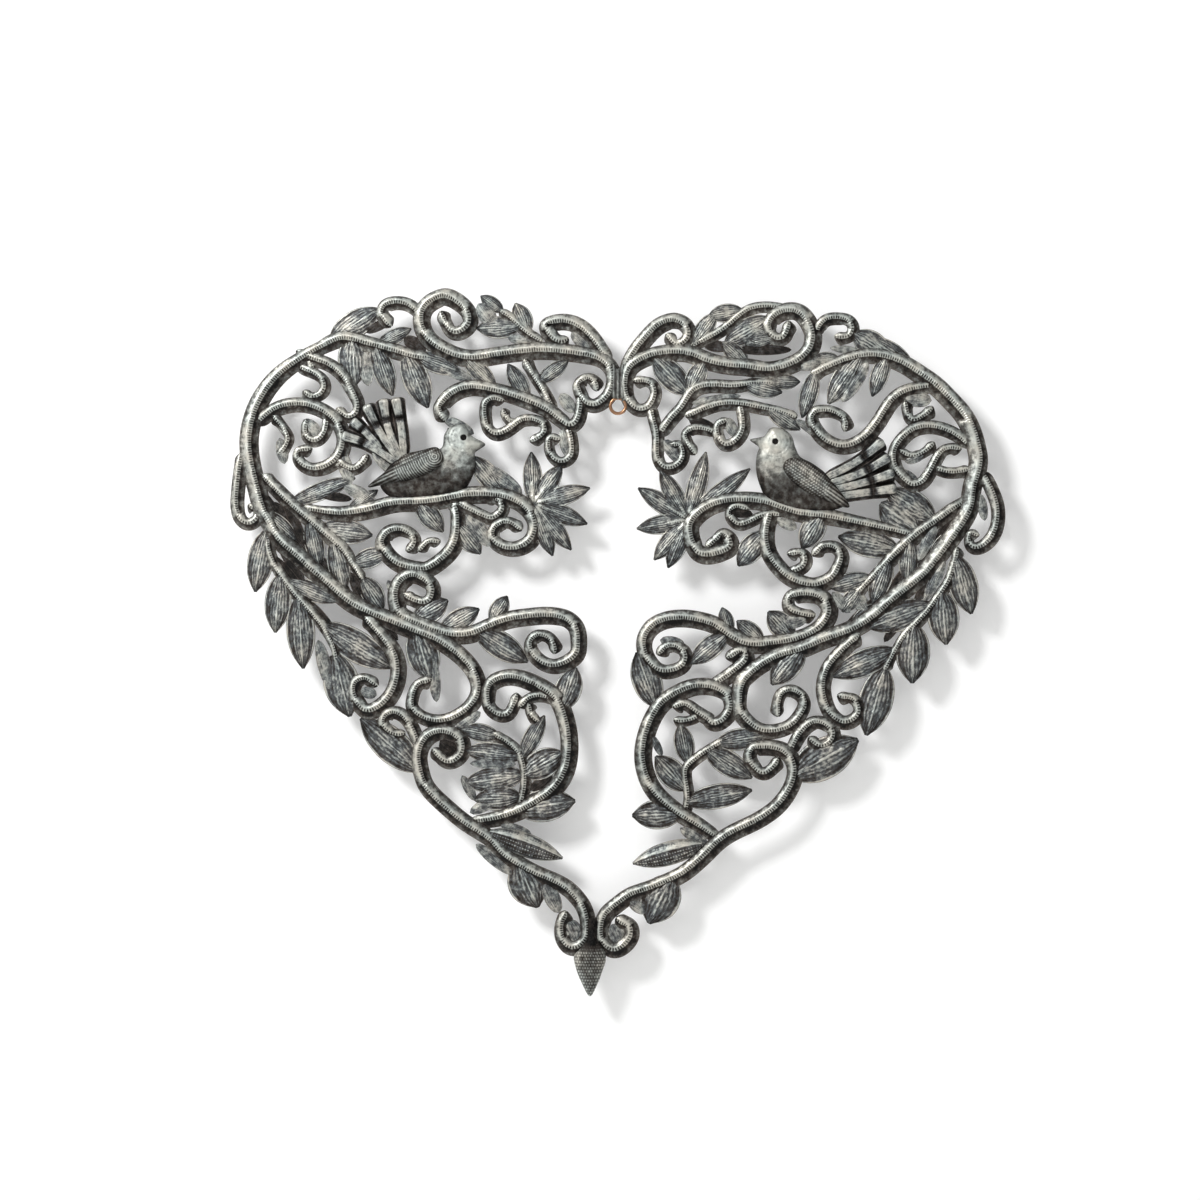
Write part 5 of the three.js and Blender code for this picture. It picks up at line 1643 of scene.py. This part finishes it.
def copper_wire(name):
    """Drawn copper-coloured wire, dulled unevenly by handling."""
    material, tree, place_on = new_material(name)
    copper = bpy.context.scene.heart_finish.copper
    dull = node(tree, "ShaderNodeTexNoise", {"Vector": place_on, "Scale": WIRE_SPOTS, "Detail": 4.0})
    colour = {0: dull, 6: (*(c * 0.35 for c in copper), 1), 7: (*(c * 1.1 for c in copper), 1)}
    surface = node(tree, "ShaderNodeBsdfPrincipled", {
        "Base Color": node(tree, "ShaderNodeMix", colour, data_type="RGBA")[2],
        "Metallic": 0.85,
        "Roughness": dull * 0.3 + 0.2,
    })
    node(tree, "ShaderNodeOutputMaterial", {"Surface": surface})
    return material


def matt_paint(name, code, open_back):
    """Matt white paint on plaster, with a faint unevenness. What the eye and the metal see of it is
    partly lit from within, so that the narrow gaps stay pale. With open_back it is left out when seen from
    behind."""
    material, tree, place_on = new_material(name)
    noise = node(tree, "ShaderNodeTexNoise", {"Vector": place_on, "Scale": 3.0})
    rays = node(tree, "ShaderNodeLightPath")
    seen = rays["Is Camera Ray"].do("MAXIMUM", rays["Is Glossy Ray"])
    seen = seen.do("MAXIMUM", rays["Is Transmission Ray"])
    white = linear(code)
    colour = {0: noise, 6: (*(c * 0.99 for c in white), 1), 7: (*white, 1)}
    colour = node(tree, "ShaderNodeMix", colour, data_type="RGBA")[2]
    paint = {0: colour, "Scale": 1.0 - seen * 0.16}
    surface = node(tree, "ShaderNodeBsdfPrincipled", {
        "Base Color": node(tree, "ShaderNodeVectorMath", paint, operation="SCALE"),
        "Roughness": 0.9,
        "Specular IOR Level": 0.0,
        "Emission Color": (white[0], white[0], white[0], 1),
        "Emission Strength": seen * 0.19,
    })
    if open_back:
        behind = node(tree, "ShaderNodeNewGeometry")["Backfacing"]
        clear = node(tree, "ShaderNodeBsdfTransparent")
        surface = node(tree, "ShaderNodeMixShader", {0: behind, 1: surface, 2: clear})
    node(tree, "ShaderNodeOutputMaterial", {"Surface": surface})
    return material


# The steel as each tool leaves it: its roughness, the depth and the strength of the file marks, and how
# blotchy the patina is. Chased stems are rubbed bright in spots. Leaves are filed along their length, so
# they look dark and streaky. Birds are punched all over, so they look dull and even.
STEEL = {
    "patinated_chased_steel": {"roughness": 0.56, "vein": 0.4, "streak": 0.12, "mottle": 1.05},
    "veined_leaf_steel": {"roughness": 0.6, "vein": 1.4, "streak": 0.8, "mottle": 0.85},
    "punched_bird_steel": {"roughness": 0.74, "vein": 0.0, "streak": 0.0, "mottle": 0.6},
}


def get_material(name):
    """The named finish, made the first time it is asked for."""
    if name in bpy.data.materials:
        return bpy.data.materials[name]
    if name == "dulled_drawn_copper_wire":
        return copper_wire(name)
    finish = bpy.context.scene.heart_finish
    middle = finish.leaf if name == "veined_leaf_steel" else finish.middle
    tones = (finish.recess, finish.shade, middle, finish.pale, finish.crest)
    return steel(name, tones, **STEEL[name])


# Operators

class HEART_OT_stems(Operator):
    """Chase the stems with their leaves"""

    bl_idname = "heart.stems"
    bl_label = "Stems and leaves"

    def execute(self, context):
        shape = context.scene.heart_shape
        tree = stem_tree(shape)
        blades = (
            ("leaves", LEAF, shape.leaf_rise),
            ("webs", WEB, shape.web_rise),
            # Pits are low patches painted dark as painted shade
            ("shade_webs", SHADE_WEB, shape.shade_web_rise),
        )
        for i, (name, data) in enumerate(STEMS.items()):
            runs = []
            for k, (widths, crest) in enumerate(data["ridges"]):
                joined = [meets_another(end, name, k) for end in (crest[0], crest[-1])]
                runs.append(stem_run(shape, widths, crest, BORDER_LEANS.get(name, LEAN), joined=joined))
            for key, kind, rise in blades:
                runs += [leaf_run(shape, leaf, kind, rise) for leaf in data.get(key, ())]
            self.chase(tree, name, runs, i, "chased_steel")
        for side in ("left", "right"):
            feathers = BIRDS[side]["tail"]
            runs = [stem_run(shape, TAIL_WIDTHS, crest, TAIL_LEAN, flute=True) for crest in feathers]
            self.chase(tree, side + "_bird_tail", runs, 30, "chased_steel")
            centre, tips = ROSETTES[side]
            petals = [(*centre, *tip, PETAL_WIDTH) for tip in tips]
            runs = [leaf_run(shape, petal, LEAF, shape.leaf_rise) for petal in petals]
            for tip in tips:
                nub = [tuple(c + (t - c) * k for c, t in zip(centre, tip)) for k in NUB_PLACES]
                runs.append(stem_run(shape, NUB_WIDTHS, nub, ROUND_LEAN))
            self.chase(tree, side + "_rosette", runs, 31, "dark_chased_steel")
            runs = [leaf_run(shape, BUDS[side], BUD, shape.bud_relief - shape.sheet)]
            self.chase(tree, side + "_bud", runs, 32, "dark_chased_steel")
        return {"FINISHED"}

    def chase(self, tree, name, runs, rank, slot):
        """One piece from its guides, lifted a little by its rank so that no two faces coincide."""
        inputs = {
            "Lift": PIECE_LIFT * MM * rank,
            "Stem metal": get_material("patinated_chased_steel"),
            "Leaf metal": get_material("veined_leaf_steel"),
        }
        grow(name, guide_object(name + "_guide", runs), tree, inputs)


class HEART_OT_reliefs(Operator):
    """Raise the birds' bodies and wings, the lowest bud and the bridge plate"""

    bl_idname = "heart.reliefs"
    bl_label = "Birds and reliefs"

    def execute(self, context):
        shape = context.scene.heart_shape
        body = relief_tree("bird_body", shape, body_pattern)
        wing = relief_tree("bird_wing", shape, wing_pattern)
        cone = relief_tree("cone_bud", shape, cone_pattern)
        plate = relief_tree("bridge_plate_relief", shape, plate_pattern)
        for side, bird in BIRDS.items():
            left = side == "left"
            tip = bird["wing_tip"]
            self.raise_sheet(
                side + "_bird_body", body, bird["body"], bird["middle"], bird["eye"], tip,
                {"Rim": 2.2 * MM, "High": shape.bird_relief, "Reach": 10 * MM},
            )
            self.raise_sheet(
                side + "_bird_wing", wing, bird["wing"], bird["wing_middle"], bird["shoulder"], tip,
                {"Back": 3.5 * MM, "Rim": 7.5 * MM, "High": shape.wing_relief, "Reach": 6 * MM,
                 "Arcs": 1.0 if left else 0.0, "Lower side": -1.0 if left else 1.0},
            )
        self.raise_sheet(
            "finial_bud", cone, FINIAL, FINIAL_MIDDLE, FINIAL_MIDDLE, FINIAL_TIP,
            {"Rim": 2.6 * MM, "High": 8 * MM, "Reach": 9 * MM},
        )
        self.raise_sheet(
            "bridge_plate", plate, BRIDGE, BRIDGE_MIDDLE, BRIDGE_MIDDLE, BRIDGE_TOP,
            {"Rim": 3 * MM, "High": 5 * MM, "Reach": 3 * MM},
        )
        return {"FINISHED"}

    def raise_sheet(self, name, tree, outline, middle, mark, tip, given):
        """One piece from its outline. The pattern runs from the mark to the tip."""
        run = {"points": smooth_path(outline, OUTLINE_STEP, closed=True) * MM}
        for label, point in (("Middle", middle), ("Mark", mark), ("Tip", tip)):
            given[label + " X"] = point[0] * MM
            given[label + " Z"] = point[1] * MM
        given["Metal"] = get_material("punched_bird_steel")
        grow(name, guide_object(name + "_guide", [run], closed=True), tree, given)


class HEART_OT_loop(Operator):
    """Bend the wire loop that the heart hangs on"""

    bl_idname = "heart.loop"
    bl_label = "Hanging loop"

    def execute(self, context):
        shape = context.scene.heart_shape
        run = {"points": np.array([(0, 0), (0, 1)]) * MM}
        inputs = {
            "Radius": (shape.loop_bore + shape.loop_wire) / 2,
            "Wire": shape.loop_wire / 2,
            "Depth": shape.loop_wire / 2 + 0.3 * MM,
            "Metal": get_material("dulled_drawn_copper_wire"),
        }
        grow("hanging_loop", guide_object("loop_guide", [run]), wire_tree(), inputs)
        return {"FINISHED"}


class HEART_OT_stage(Operator):
    """Set up the wall, the floor, the light and the camera"""

    bl_idname = "heart.stage"
    bl_label = "Stage"

    def execute(self, context):
        scene = context.scene
        stage = scene.heart_stage
        gap = stage.wall_gap
        side, floor, top, front = 4, -0.9, 4, -6
        self.sheet(
            "wall", [(-side, gap, floor), (side, gap, floor), (side, gap, top), (-side, gap, top)],
            matt_paint("matt_white_wall_paint", "#FFFFFF", True),
        )
        self.sheet(
            "floor", [(-side, front, floor), (side, front, floor), (side, gap, floor), (-side, gap, floor)],
            matt_paint("matt_white_floor_paint", "#F4F4F2", False),
        )
        # The camera looks straight at the middle of the picture, and the key lamp stands high on the left
        aim = Vector((-0.0135, 0, -0.1455))
        towards_key = Vector((-0.84, -1.0, 0.84)).normalized()
        key_distance = 2.2
        key = bpy.data.lights.new("key", "AREA")
        key.shape = "DISK"
        key.size = 0.6
        key.energy = stage.key_power
        lamp = bpy.data.objects.new("key", key)
        lamp.location = aim + towards_key * key_distance
        lamp.rotation_euler = (aim - lamp.location).to_track_quat("-Z", "Y").to_euler()
        scene.collection.objects.link(lamp)
        world = bpy.data.worlds.new("pale_room")
        world.use_nodes = True
        sky = world.node_tree.nodes["Background"].inputs
        sky["Color"].default_value = (1, 1, 1, 1)
        sky["Strength"].default_value = stage.sky
        scene.world = world
        camera = bpy.data.cameras.new("camera")
        camera.lens = stage.lens
        camera.sensor_width = 36
        viewer = bpy.data.objects.new("camera", camera)
        viewer.location = (aim.x, -stage.distance, aim.z)
        viewer.rotation_euler = (math.pi / 2, 0, 0)
        scene.collection.objects.link(viewer)
        scene.camera = viewer
        scene.view_settings.view_transform = "Standard"
        return {"FINISHED"}

    def sheet(self, name, corners, material):
        """One flat face of the stage."""
        mesh = bpy.data.meshes.new(name)
        mesh.from_pydata(corners, [], [(0, 1, 2, 3)])
        mesh.materials.append(material)
        made = bpy.data.objects.new(name, mesh)
        bpy.context.scene.collection.objects.link(made)


class HEART_PT_panel(Panel):
    """Sizes, colours and steps of the metal heart"""

    bl_label = "Metal heart"
    bl_idname = "HEART_PT_panel"
    bl_space_type = "VIEW_3D"
    bl_region_type = "UI"
    bl_category = "Heart"

    def draw(self, context):
        for group in GROUPS:
            settings = getattr(context.scene, group)
            box = self.layout.box()
            for key in settings.__annotations__:
                box.prop(settings, key)
        for operator in OPERATORS:
            self.layout.operator(operator.bl_idname)


GROUPS = {"heart_shape": HeartShape, "heart_finish": HeartFinish, "heart_stage": HeartStage}
OPERATORS = (HEART_OT_stems, HEART_OT_reliefs, HEART_OT_loop, HEART_OT_stage)
CLASSES = (*GROUPS.values(), *OPERATORS, HEART_PT_panel)


def register():
    for kind in CLASSES:
        bpy.utils.register_class(kind)
    for key, group in GROUPS.items():
        setattr(bpy.types.Scene, key, PointerProperty(type=group))


def unregister():
    for key in GROUPS:
        delattr(bpy.types.Scene, key)
    for kind in reversed(CLASSES):
        bpy.utils.unregister_class(kind)


def main():
    register()
    bpy.ops.heart.stems()
    bpy.ops.heart.reliefs()
    bpy.ops.heart.loop()
    bpy.ops.heart.stage()


if __name__ == "__main__":
    main()
